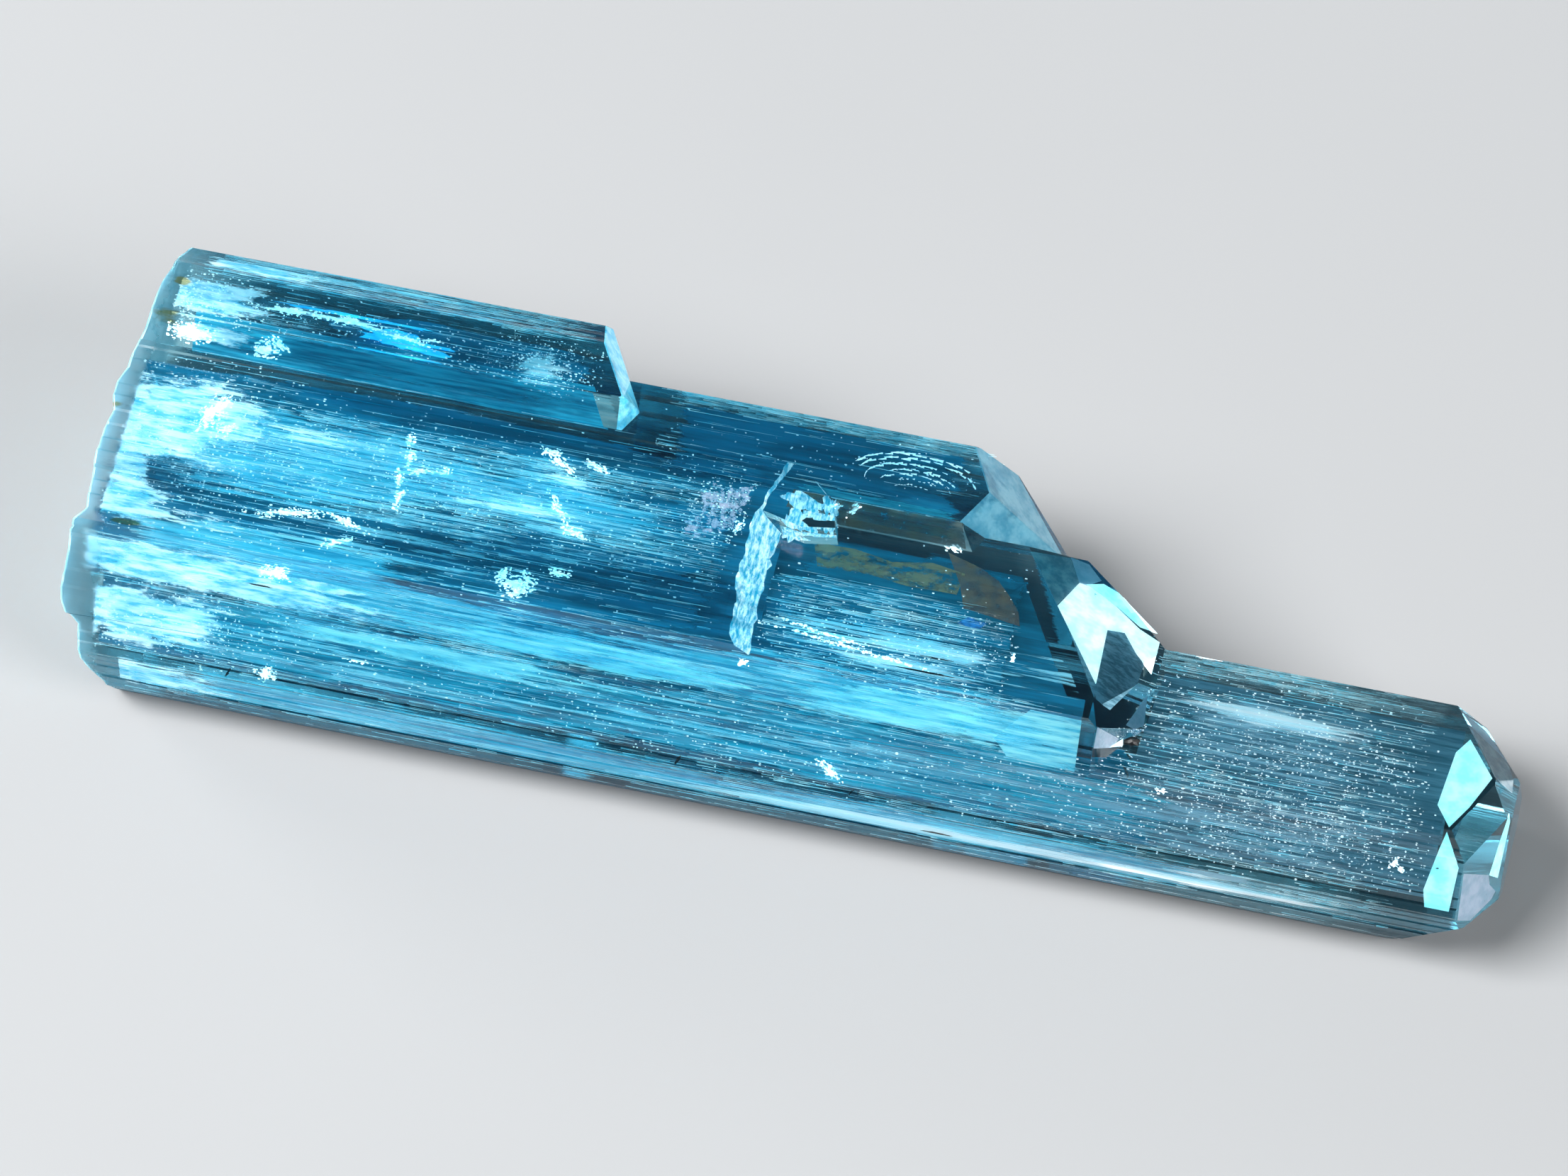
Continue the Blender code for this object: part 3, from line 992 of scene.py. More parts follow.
@dataclass
class Pinpoints:
    """Small bright grains and bubbles."""

    clouds: list[Cloud]
    finish: Inclusion = Inclusion(
        "pinpoints", WHITE, (0.75, 0.92, 1.0, 1.0), roughness=0.3, painted_glow=0.22
    )

    def build(self, effects: Effects) -> bpy.types.Object:
        """Builds all the clouds in one mesh."""
        growth = Growth("pinpoints", seed=23)
        for cloud in self.clouds:
            face = cloud.face.value
            for _ in range(cloud.count):
                station = growth.random.gauss(cloud.station, cloud.spread[0])
                across = growth.random.gauss(cloud.across, cloud.spread[1])
                depth = abs(growth.random.gauss(cloud.depth, cloud.spread[2])) + CLOUD_TOP
                if not face.ends[0] < station < face.ends[1]:
                    station = growth.between(face.ends)
                if not CLOUD_RIM < across < face.width() - CLOUD_RIM:
                    across = growth.between((CLOUD_RIM, face.width() - CLOUD_RIM))
                size = growth.between(cloud.size)
                shape = (size * growth.between((0.8, 2.4)), size, size)
                growth.grain(face.lay(station, across, depth), shape)
        return growth.finish(self.finish.make(effects))


@dataclass(frozen=True)
class Flake:
    """One ragged plate under a face, with its half-length and half-width."""

    face: Long
    station: float
    across: float
    size: tuple[float, float]
    depth: float = 0.3
    turn: float = 0.0
    ragged: float = 0.3

    def place(self) -> Matrix:
        """Where it lies."""
        return self.face.value.lay(self.station, self.across, self.depth, self.turn)


def under(face: Long, *rows: tuple[float, ...]) -> list[Flake]:
    """Plates under one face, in the order of their rows.

    Args:
        face: The face.
        *rows: Each plate's station, place across, half-length, half-width and depth, then its
            turn and its raggedness where they aren't the usual ones.

    Returns:
        The plates.
    """
    return [
        Flake(face, station, across, (length, width), *rest)
        for station, across, length, width, *rest in rows
    ]


@dataclass
class Flakes:
    """Some plates of one finish."""

    name: str
    finish: Inclusion
    flakes: list[Flake]
    seed: int = 1
    grains: float = 0.0  # small lumps for each square millimetre
    grain_size: Range = (0.012, 0.05)
    grain_height: Range = (-0.08, 0.12)

    def build(self, effects: Effects) -> bpy.types.Object:
        """Builds the plates in one mesh, with small lumps scattered over them."""
        growth = Growth(self.name, self.seed)
        for flake in self.flakes:
            face = flake.face.value
            place = flake.place()
            growth.plate(face, place, flake.size, flake.ragged)
            length, width = flake.size
            spread = (length + GRAIN_MARGIN) * (width + GRAIN_MARGIN) * math.pi
            for _ in range(int(spread * self.grains)):
                angle = growth.between((0.0, 2 * math.pi))
                reach = math.sqrt(growth.random.random()) * growth.between((0.7, 1.3))
                spot = Vector(
                    (
                        math.cos(angle) * (length + GRAIN_MARGIN / 2) * reach,
                        math.sin(angle) * (width + GRAIN_MARGIN / 2) * reach,
                        growth.between(self.grain_height),
                    )
                )
                size = growth.between(self.grain_size)
                shape = (size * growth.between((0.8, 2.6)), size, size * 0.7)
                turned = place.to_3x3().to_4x4()
                growth.grain(Matrix.Translation(face.within(place @ spot)) @ turned, shape)
        return growth.finish(self.finish.make(effects))


@dataclass
class Skin:
    """A thin layer just under those of the crystal's faces that lie in a box and look one way."""

    name: str
    finish: Inclusion
    low: tuple[float, float, float]
    high: tuple[float, float, float]
    towards: tuple[float, float, float] = (1.0, 0.0, 0.0)
    least: float = 0.25
    depth: float = 0.06
    thickness: float = 0.015

    def build(self, effects: Effects) -> bpy.types.Object:
        """Builds the layer from a copy of the crystal's faces."""
        growth = Growth(self.name, seed=1)
        growth.skin(
            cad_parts[NODE],
            Vector(self.low),
            Vector(self.high),
            Vector(self.towards).normalized(),
            self.least,
            self.depth,
            self.thickness,
        )
        return growth.finish(self.finish.make(effects))


@dataclass(frozen=True)
class Sheet:
    """A flat plate under a long face, by the (station, across) of its corners.

    Under a facet of a tip, the corners are (station, y).
    """

    face: Long | Tip
    corners: tuple[tuple[float, float], ...]
    depth: float = 0.3


@dataclass
class Sheets:
    """Some flat plates of one finish."""

    name: str
    finish: Inclusion
    sheets: list[Sheet]

    def build(self, effects: Effects) -> bpy.types.Object:
        """Builds the plates in one mesh."""
        growth = Growth(self.name, seed=1)
        for sheet in self.sheets:
            face = sheet.face.value
            corners = [face.place(*corner, sheet.depth) for corner in sheet.corners]
            outward = face.place(0.0, 0.0, 0.0) - face.place(0.0, 0.0, 1.0)
            growth.outline(corners, outward)
        return growth.finish(self.finish.make(effects))


@dataclass
class ShellFracture:
    """A shell-shaped fracture: nested arcs of fine strokes under a face."""

    face: Long = Long.BACK_TOP
    station: float = 33.4
    across: float = 1.75
    reach: tuple[float, float] = (2.6, 1.15)
    arcs: int = 7
    strokes: int = 26
    depth: float = 0.25
    arc_step: float = 0.11  # how much smaller each arc is than the one outside it
    wander: float = 0.06
    starts: Range = (0.0, 60.0)  # where an arc starts and ends, in degrees
    ends: Range = (120.0, 190.0)
    lift: float = 0.10
    gap: float = 0.2  # the share of an arc's strokes that are missing
    gap_step: float = 0.05
    finish: Inclusion = Inclusion(
        "shell fracture", WHITE, (0.6, 0.86, 0.95, 1.0), roughness=0.25, painted_glow=0.35
    )

    def build(self, effects: Effects) -> bpy.types.Object:
        """Builds the strokes of every arc in one mesh."""
        growth = Growth("shell_fracture", seed=5)
        face = self.face.value
        for arc in range(self.arcs):
            share = 1.0 - self.arc_step * arc + self.wander * growth.random.random()
            start = growth.between(self.starts)
            end = growth.between(self.ends)
            lift = self.lift * arc
            for stroke in range(self.strokes):
                if growth.random.random() < self.gap + self.gap_step * arc:
                    continue
                angle = math.radians(start + (end - start) * stroke / self.strokes)
                station = self.station + self.reach[0] * share * math.cos(angle)
                across = self.across + self.reach[1] * share * math.sin(angle) - lift
                across += growth.between((-0.05, 0.05))
                slope = math.atan2(
                    self.reach[1] * math.cos(angle), -self.reach[0] * math.sin(angle)
                )
                place = face.lay(station, across, self.depth + 0.05 * arc, math.degrees(slope))
                run = math.radians((end - start) / self.strokes)
                length = 1.5 * run * share * math.hypot(
                    self.reach[0] * math.sin(angle), self.reach[1] * math.cos(angle)
                )
                bright = 0.5 + 0.5 * math.sin(math.radians(stroke * 180.0 / self.strokes))
                thick = (0.010 + 0.070 * bright) * (1.0 - 0.10 * arc)
                growth.needle(place, length, thick * growth.between((0.5, 1.2)))
        return growth.finish(self.finish.make(effects))


@dataclass(frozen=True)
class Edge:
    """A long edge of the crystal, by its (y, z) and the stations where it shows."""

    y: float
    z: float
    stations: Range
    inward: tuple[float, float]  # the (y, z) direction into the crystal


@dataclass
class EdgeWearAndHighlights:
    """Fine flecks and bruises just inside the long edges, white and glowing: wear, and painted
    highlights along the edges.
    """

    edges: list[Edge]
    flecks: float = 1.6  # for each millimetre
    length: Range = (0.15, 1.6)
    depth: Range = (0.03, 0.09)
    radius: Range = (0.006, 0.014)
    # White with a painted glow: painted edge highlights as well as wear.
    finish: Inclusion = Inclusion(
        "edge wear and highlight", WHITE, (0.6, 0.9, 0.98, 1.0), roughness=0.3, painted_glow=0.08
    )

    def build(self, effects: Effects) -> bpy.types.Object:
        """Builds the flecks of every edge in one mesh."""
        growth = Growth("edge_wear_and_highlights", seed=37)
        for edge in self.edges:
            inward = Vector((0.0, *edge.inward)).normalized()
            start, end = edge.stations
            for _ in range(int((end - start) * self.flecks)):
                length = growth.between(self.length)
                station = growth.between((start + length / 2, end - length / 2))
                depth = growth.between(self.depth)
                middle = Vector((station, edge.y, edge.z)) + inward * depth
                radius = growth.between(self.radius)
                growth.needle(Matrix.Translation(middle), length, radius)
        return growth.finish(self.finish.make(effects))


@dataclass
class BlackGrain:
    """A small black mineral grain, caught where the middle prism ends."""

    station: float = 44.25
    across: float = 1.25
    size: tuple[float, float, float] = (0.40, 0.20, 0.17)
    turn: float = 8.0
    rough: float = 0.45  # how far its faces stray, as a share of its size
    waves: float = 1.9
    finish: Inclusion = Inclusion(
        "black grain", (0.008, 0.008, 0.009, 1.0), (0.001, 0.001, 0.001, 1.0), roughness=0.4
    )

    def build(self, effects: Effects) -> bpy.types.Object:
        """Builds the grain as one rough lump with flat faces."""
        growth = Growth("black_grain", seed=3)
        place = Long.FRONT_TOP.value.lay(self.station, self.across, 0.0, self.turn)
        made = bmesh.ops.create_icosphere(growth.mesh, subdivisions=2, radius=1.0)
        for vert in made["verts"]:
            vert.co *= 1.0 + self.rough * noise.noise(vert.co * self.waves)
        shape = Matrix.Diagonal((*self.size, 1.0))
        bmesh.ops.transform(growth.mesh, matrix=place @ shape, verts=made["verts"])
        return growth.finish(self.finish.make(effects))


# ---------------------------------------------------------------- the studio


@dataclass(frozen=True)
class AreaLight:
    """A soft rectangular light that looks at the crystal."""

    name: str
    place: tuple[float, float, float]
    size: tuple[float, float]
    power: float


@dataclass
class Studio:
    """Pale floor, soft light and the camera."""

    azimuth: float = 13.23
    elevation: float = 55.0
    target: tuple[float, float, float] = (-0.00117, -0.00069, 0.0059)
    distance: float = 0.356
    lens: float = 200.0
    sensor: float = 36.0
    floor_gap: float = 0.00006  # the crystal rests on dust, so glass and floor don't touch
    floor_size: float = 1.5
    sky: Colour = (0.80, 0.86, 0.92, 1.0)
    sky_strength: float = 0.22
    room: Colour = (0.55, 0.72, 0.85, 1.0)  # what lights and mirrors itself in the crystal
    room_strength: float = 0.035
    exposure: float = 2.0
    floor_dark: Colour = (0.225, 0.23, 0.235, 1.0)
    floor_light: Colour = (0.24, 0.245, 0.25, 1.0)
    floor_roughness: float = 0.75
    bounces: int = 14
    see_through_bounces: int = 20
    lights: list[AreaLight] = field(
        default_factory=lambda: [
            AreaLight("key", (-0.43, -0.19, 0.58), (0.42, 0.42), 4.0),
            AreaLight("fill", (0.58, -0.24, 0.40), (0.40, 0.40), 1.8),
            AreaLight("back", (-0.62, 0.28, 0.16), (0.25, 0.25), 0.8),
        ]
    )

    def _floor(self) -> None:
        """A plain pale floor."""
        mesh = bmesh.new()
        bmesh.ops.create_grid(mesh, x_segments=1, y_segments=1, size=self.floor_size)
        data = bpy.data.meshes.new("floor")
        mesh.to_mesh(data)
        mesh.free()
        material, tree, shader = new_material("floor")
        soft = tree.noise(tree.millimetres(), (0.02, 0.02, 0.02))
        colour = tree.mix(soft, self.floor_dark, self.floor_light)
        tree.feed(shader.inputs["Base Color"], colour)
        shader.inputs["Roughness"].default_value = self.floor_roughness
        data.materials.append(material)
        floor = bpy.data.objects.new("floor", data)
        floor.location.z = -self.floor_gap
        bpy.context.scene.collection.objects.link(floor)

    def _light(self, light: AreaLight) -> None:
        """Places one light."""
        data = bpy.data.lights.new(light.name, "AREA")
        data.shape = "RECTANGLE"
        data.size, data.size_y = light.size
        data.energy = light.power
        lamp = bpy.data.objects.new(light.name, data)
        lamp.location = light.place
        lamp.rotation_euler = (-Vector(light.place)).to_track_quat("-Z", "Y").to_euler()
        bpy.context.scene.collection.objects.link(lamp)

    def _camera(self) -> None:
        """Looks down on the crystal from its front, a little from the tip's side."""
        turn, rise = math.radians(self.azimuth), math.radians(self.elevation)
        away = Vector(
            (
                math.sin(turn) * math.cos(rise),
                -math.cos(turn) * math.cos(rise),
                math.sin(rise),
            )
        )
        data = bpy.data.cameras.new("camera")
        data.lens = self.lens
        data.sensor_width = self.sensor
        data.clip_start = 0.01
        camera = bpy.data.objects.new("camera", data)
        camera.location = Vector(self.target) + away * self.distance
        camera.rotation_euler = (-away).to_track_quat("-Z", "Y").to_euler()
        bpy.context.scene.collection.objects.link(camera)
        bpy.context.scene.camera = camera

    def build(self) -> None:
        """Sets up the floor, the sky, the lights and the camera."""
        self._floor()
        world = bpy.data.worlds.new("studio")
        world.use_nodes = True
        tree = Tree(world.node_tree)
        room = world.node_tree.nodes["Background"]
        room.inputs["Color"].default_value = self.room
        room.inputs["Strength"].default_value = self.room_strength
        sky = tree.add("ShaderNodeBackground")
        sky.inputs["Color"].default_value = self.sky
        sky.inputs["Strength"].default_value = self.sky_strength
        seen = tree.add("ShaderNodeLightPath")
        both = tree.add("ShaderNodeMixShader")
        tree.feed(both.inputs[0], seen.outputs["Is Camera Ray"])
        tree.feed(both.inputs[1], room.outputs[0])
        tree.feed(both.inputs[2], sky.outputs[0])
        tree.feed(world.node_tree.nodes["World Output"].inputs["Surface"], both.outputs[0])
        bpy.context.scene.world = world
        for light in self.lights:
            self._light(light)
        self._camera()
        cycles = bpy.context.scene.cycles
        cycles.max_bounces = self.bounces
        cycles.transmission_bounces = self.bounces
        cycles.transparent_max_bounces = self.see_through_bounces
        look = bpy.context.scene.view_settings
        look.view_transform = "Standard"
        look.exposure = self.exposure


# ---------------------------------------------------------------- the crystal


# Where the glass gets painted shade in dark patches.
PAINTED_SHADE_WINDOWS = (
    Patch(Long.LAYER_TOP, 3.9, 2.7, (2.4, 0.8, 1.5)),
    Patch(Long.LAYER_TOP, 18.0, 7.6, (11.0, 0.75, 1.5)),
    Patch(Long.LAYER_TOP, 20.5, 1.6, (8.5, 1.35, 1.5)),
    Patch(Long.TOP_TOP, 11.5, 1.3, (10.0, 1.4, 0.6)),
    Patch(Long.TOP_SLOPE, 12.5, 0.6, (9.0, 0.7, 0.8)),
    Patch(Long.BACK_SLOPE, 32.0, 0.6, (5.0, 0.6, 0.8)),
    Patch(Long.BACK_TOP, 29.0, 2.0, (9.0, 1.9, 2.0)),
)

STAINS = (
    Patch(Long.TOP_TOP, 1.9, -0.3, (0.8, 0.35, 0.5), 0.8),
    Patch(Long.TOP_TOP, 2.1, 1.6, (0.35, 0.2, 0.4), 0.8),
    Patch(Long.LAYER_TOP, 2.5, 0.2, (0.7, 0.12, 0.4), 0.6),
    Patch(Long.LAYER_TOP, 0.8, 5.2, (0.3, 0.25, 0.4), 0.8),
)

BUNDLES = [
    Bundle(Long.TOP_BEVEL, (1.2, 19.5), (0.1, 1.5), 440, depth=(0.05, 0.5)),
    Bundle(Long.TOP_TOP, (1.2, 19.5), (0.1, 2.4), 220, depth=(0.2, 2.0)),
    Bundle(Long.LAYER_TOP, (0.8, 27.0), (3.0, 7.0), 1240, depth=(0.1, 1.6)),
    Bundle(Long.LAYER_TOP, (0.8, 27.0), (0.2, 8.4), 840, depth=(0.1, 2.5)),
    Bundle(Long.MIDDLE_TOP, (28.0, 41.0), (0.4, 4.5), 640, depth=(0.1, 1.8)),
    Bundle(Long.MIDDLE_SLOPE, (0.6, 42.0), (0.1, 2.5), 840, depth=(0.1, 1.2)),
    Bundle(Long.FRONT_SLOPE, (0.6, 57.0), (0.1, 3.7), 1500, depth=(0.1, 2.0)),
    Bundle(Long.FRONT_TOP, (43.5, 57.0), (0.3, 5.7), 420, depth=(0.1, 2.0)),
    Bundle(Long.FRONT_STRIP, (1.0, 56.0), (0.1, 2.1), 600, depth=(0.05, 0.8)),
    Bundle(Long.BACK_TOP, (21.5, 36.0), (0.2, 3.6), 120, depth=(0.2, 2.0)),
    Bundle(Long.TOP_SHOULDER, (2.0, 20.0), (0.2, 3.6), 480, depth=(0.1, 1.0)),
    Bundle(Long.BACK_SHOULDER, (21.0, 37.0), (0.2, 4.8), 400, depth=(0.1, 1.0)),
    Bundle(Long.FRONT_BACK, (43.0, 56.0), (0.2, 3.8), 240, depth=(0.1, 1.0)),
]

CLOUDS = [
    Cloud(Long.TOP_TOP, 17.5, 0.6, (1.1, 0.8, 0.4), 670, depth=0.8),
    Cloud(Long.TOP_TOP, 12.0, 0.8, (4.0, 0.8, 0.6), 320, depth=0.8),
    Cloud(Long.TOP_TOP, 3.0, 1.0, (1.2, 0.8, 0.3), 560, depth=0.3),
    Cloud(Long.LAYER_TOP, 14.0, 4.5, (7.5, 2.0, 0.6), 1440, depth=0.6),
    Cloud(Long.LAYER_TOP, 26.0, 6.3, (1.0, 1.0, 0.3), 320, depth=0.3),
    Cloud(Long.LAYER_TOP, 4.0, 4.5, (2.2, 2.2, 0.5), 960, depth=0.4),
    Cloud(Long.BACK_TOP, 28.0, 2.0, (5.0, 1.0, 0.8), 250, depth=1.0),
    Cloud(Long.MIDDLE_TOP, 36.0, 2.0, (4.5, 1.4, 0.6), 670, depth=0.6),
    Cloud(Long.FRONT_SLOPE, 4.5, 2.0, (3.0, 1.0, 0.4), 800, depth=0.3),
    Cloud(Long.FRONT_SLOPE, 30.0, 2.0, (14.0, 1.0, 0.6), 1280, depth=0.4),
    Cloud(Long.FRONT_TOP, 50.0, 2.2, (4.0, 1.6, 0.8), 1440, depth=0.8),
    Cloud(Long.FRONT_SLOPE, 50.0, 2.0, (4.5, 1.0, 0.6), 1120, depth=0.6),
]


FROST = Inclusion(
    "white frost", WHITE, ICE, cover=1.0, opacity=0.85, fineness=5.0, sharpness=1.3, painted_glow=0.35,
    soft=0.9,
)
MILK = Inclusion(
    "milk", WHITE, (0.08, 0.54, 0.72, 1.0), cover=0.82, opacity=0.85,
    stretch=6.0, fineness=3.4, sharpness=1.0, painted_glow=0.15, soft=0.7,
)
WISP = Inclusion(
    "frost wisps", WHITE, ICE, cover=0.50, opacity=0.75, stretch=12.0, fineness=4.0,
    sharpness=2.0, painted_glow=0.16, soft=0.9,
)
BODY_BLUE = Inclusion(
    "blue body", (0.20, 0.76, 0.90, 1.0), (0.01, 0.34, 0.52, 1.0), cover=1.0, opacity=0.85,
    stretch=18.0, fineness=4.0, sharpness=1.0, painted_glow=0.055, soft=0.6,
)
DEPTHS = Inclusion(
    "blue depths", (0.07, 0.62, 0.78, 1.0), (0.0, 0.26, 0.40, 1.0), cover=1.0, opacity=0.85,
    stretch=18.0, fineness=4.5, sharpness=1.0, painted_glow=0.045, soft=0.5,
)
# Painted shade: grey plates in the nearly clear tip, where it looks dark grey.
PAINTED_SHADE_GREY = Inclusion(
    "painted grey shade", (0.16, 0.34, 0.44, 1.0), (0.05, 0.15, 0.21, 1.0), cover=1.0, opacity=0.85,
    stretch=18.0, fineness=4.0, painted_glow=0.03,
)
AZURE = Inclusion(
    "azure film", (0.06, 0.36, 0.80, 1.0), (0.02, 0.18, 0.45, 1.0), cover=0.75, opacity=0.8,
    stretch=2.0, fineness=4.0, painted_glow=0.08,
)
SILK = Inclusion(
    "silky veil", (0.55, 0.92, 1.0, 1.0), (0.12, 0.62, 0.86, 1.0), cover=0.42, opacity=0.75,
    stretch=40.0, fineness=4.5, sharpness=2.5, painted_glow=0.07, soft=0.4,
)
GREY_SILK = Inclusion(
    "grey silk", (0.55, 0.78, 0.90, 1.0), (0.14, 0.34, 0.44, 1.0), cover=0.52, opacity=0.5,
    stretch=25.0, fineness=4.0, sharpness=2.5, painted_glow=0.03, soft=0.4,
)
CYAN = Inclusion(
    "cyan zone", (0.60, 1.0, 1.0, 1.0), (0.10, 0.62, 0.80, 1.0), cover=0.75, opacity=0.75,
    stretch=14.0, fineness=4.0, sharpness=1.0, painted_glow=0.09, soft=0.6,
)
VEIL = Inclusion(
    "fine veil", WHITE, ICE, cover=0.78, opacity=0.75, stretch=30.0, fineness=2.0,
    sharpness=0.9, painted_glow=0.08, soft=0.9,
)
ROYAL = Inclusion(
    "blue flash", (0.10, 0.85, 1.0, 1.0), (0.0, 0.46, 0.95, 1.0), cover=0.9, opacity=0.9,
    stretch=3.0, painted_glow=0.24, soft=0.2,
)
OLIVE = Inclusion(
    "yellow film", (0.42, 0.34, 0.18, 1.0), (0.16, 0.20, 0.16, 1.0), cover=0.66, opacity=0.55,
    stretch=2.0, fineness=1.6, painted_glow=0.06,
)
BROWN = Inclusion(
    "brown film", (0.42, 0.22, 0.12, 1.0), (0.20, 0.14, 0.14, 1.0), cover=0.85, opacity=0.5,
    fineness=1.5, painted_glow=0.04,
)
PINK = Inclusion(
    "pink film", (1.0, 0.72, 0.82, 1.0), (0.50, 0.62, 0.76, 1.0), cover=0.55, opacity=0.6,
    fineness=3.0, painted_glow=0.10, soft=0.2,
)
DARK = Inclusion("dark needles", (0.02, 0.03, 0.04, 1.0), (0.0, 0.005, 0.01, 1.0))
# Painted shade: dark teal plates deep in the crystal, where its clear parts look dark.
PAINTED_SHADE_TEAL = Inclusion(
    "deep window", (0.01, 0.28, 0.44, 1.0), (0.0, 0.13, 0.21, 1.0), cover=1.0, opacity=0.85,
    stretch=12.0, fineness=1.5, painted_glow=0.05, soft=0.3,
)

BREAK = Inclusion(
    "broken layer", WHITE, (0.03, 0.40, 0.56, 1.0), cover=0.95, opacity=0.95,
    stretch=0.25, fineness=1.8, painted_glow=0.18,
)
ROOT = Inclusion(
    "broken root", (0.70, 0.85, 0.88, 1.0), (0.26, 0.56, 0.64, 1.0), cover=0.85, opacity=0.9,
    fineness=1.8, sharpness=1.0, painted_glow=0.06,
)
# Painted light: a bright layer under the top prism's end faces, where light comes through them.
PAINTED_END_LIGHT = Inclusion(
    "painted bright end", (0.70, 0.97, 1.0, 1.0), (0.20, 0.72, 0.90, 1.0), cover=1.0, opacity=0.85,
    fineness=1.6, painted_glow=0.13,
)
# Painted light: a pale layer under the back prism's end faces, where light comes through them.
PAINTED_BACK_END_LIGHT = Inclusion(
    "painted pale end", (0.66, 0.93, 1.0, 1.0), (0.30, 0.66, 0.80, 1.0), cover=1.0, opacity=0.6,
    fineness=1.0, painted_glow=0.06,
)

FROST_FLAKES = [
    *under(
        Long.TOP_SLOPE,
        (2.9, 0.55, 1.1, 0.38, 0.15),
        (6.1, 0.35, 0.55, 0.42, 0.2, 20.0, 0.5),
        (6.7, 0.75, 0.4, 0.22, 0.2, -30.0, 0.5),
    ),
    *under(
        Long.LAYER_TOP,
        (4.7, 6.0, 1.0, 0.42, 0.35, 62.0, 0.6),
        (5.4, 5.3, 0.5, 0.25, 0.35, 30.0, 0.6),
        (12.9, 6.4, 0.14, 0.3, 0.4, 0.0, 0.7),
        (13.1, 5.6, 0.2, 0.34, 0.4, 0.0, 0.7),
        (12.9, 4.6, 0.12, 0.42, 0.4, 8.0, 0.7),
        (13.1, 3.6, 0.1, 0.5, 0.4, -8.0, 0.7),
        (13.6, 5.1, 0.35, 0.12, 0.5, 15.0, 0.5),
        (14.5, 5.3, 0.4, 0.1, 0.5, 10.0, 0.5),
        (8.9, 2.15, 1.7, 0.17, 0.45, 11.0),
        (11.2, 2.25, 0.95, 0.15, 0.45, -20.0),
        (11.2, 1.3, 0.75, 0.11, 0.45, 30.0),
        (18.6, 0.9, 0.7, 0.32, 0.45, 0.0, 0.7),
        (18.1, 1.2, 0.38, 0.22, 0.4, 50.0, 0.7),
        (19.1, 1.25, 0.42, 0.2, 0.4, -25.0, 0.7),
        (18.9, 0.55, 0.45, 0.18, 0.4, 15.0, 0.7),
        (20.35, 1.75, 0.6, 0.08, 0.4),
        (19.2, 6.65, 1.0, 0.16, 0.45, -32.0, 0.7),
        (18.7, 7.1, 0.45, 0.1, 0.45, 10.0, 0.7),
        (20.7, 6.8, 0.65, 0.13, 0.45, -20.0, 0.7),
        (19.6, 4.6, 0.9, 0.12, 0.45, -50.0, 0.6),
        (20.4, 3.7, 0.7, 0.14, 0.45, -15.0, 0.6),
        (26.9, 5.3, 0.35, 0.12, 0.25, 70.0, 0.6),
    ),
    *under(
        Long.BACK_SLOPE,
        (30.4, 0.75, 0.38, 0.1, 0.1, 40.0),
        (31.2, 0.8, 0.4, 0.09, 0.1, 50.0),
    ),
    *under(
        Long.MIDDLE_TOP,
        (35.5, 6.95, 0.32, 0.17, 0.06, -15.0, 0.4),
        (32.2, 1.35, 3.4, 0.035, 0.4, -6.5),
        (31.5, 1.75, 2.0, 0.03, 0.4, -9.0),
        (41.3, 2.2, 0.24, 0.13, 0.1, 10.0),
    ),
    *under(
        Long.MIDDLE_SLOPE,
        (28.4, 2.1, 0.25, 0.13, 0.08, 10.0, 0.5),
        (8.9, 2.0, 0.6, 0.33, 0.25, 0.0, 0.6),
    ),
    *under(
        Long.FRONT_SLOPE,
        (8.85, 0.5, 0.35, 0.32, 0.2, 0.0, 0.6),
        (12.65, 1.92, 0.45, 0.06, 0.15),
        (32.4, 1.1, 0.65, 0.18, 0.25, -35.0, 0.7),
        (55.5, 1.9, 0.2, 0.09, 0.15, 60.0, 0.6),
        (55.8, 1.7, 0.15, 0.06, 0.15, -20.0, 0.6),
        (45.8, 3.1, 0.16, 0.08, 0.1, 0.0, 0.5),
    ),
]

MILK_FLAKES = [
    *under(Long.LAYER_TOP, (1.5, 4.5, 4.0, 4.6, 0.8, 0.0, 0.5)),
    *under(Long.FRONT_SLOPE, (1.5, 2.0, 4.5, 2.6, 0.7, 0.0, 0.5)),
    *under(Long.MIDDLE_SLOPE, (1.5, 1.3, 5.0, 1.9, 0.7, 0.0, 0.5)),
    *under(Long.FRONT_STRIP, (1.5, 1.0, 6.0, 1.5, 0.5, 0.0, 0.5)),
    *under(Long.TOP_TOP, (1.5, 1.3, 4.0, 2.0, 0.7, 0.0, 0.5)),
    *under(
        Long.LAYER_TOP,
        (2.8, 5.6, 6.2, 2.6, 0.4),
        (1.6, 1.2, 4.0, 1.6, 0.4),
    ),
    *under(Long.TOP_TOP, (3.0, 1.3, 3.6, 1.3, 0.4)),
    *under(Long.TOP_SLOPE, (3.4, 0.6, 3.6, 0.7, 0.25)),
    *under(Long.TOP_BEVEL, (4.0, 0.8, 5.0, 0.9, 0.2)),
    *under(Long.FRONT_SLOPE, (3.0, 2.0, 6.5, 2.1, 0.4)),
    *under(Long.MIDDLE_SLOPE, (5.0, 1.3, 11.0, 1.4, 0.35)),
    *under(Long.FRONT_STRIP, (3.6, 1.0, 5.0, 1.1, 0.3)),
]

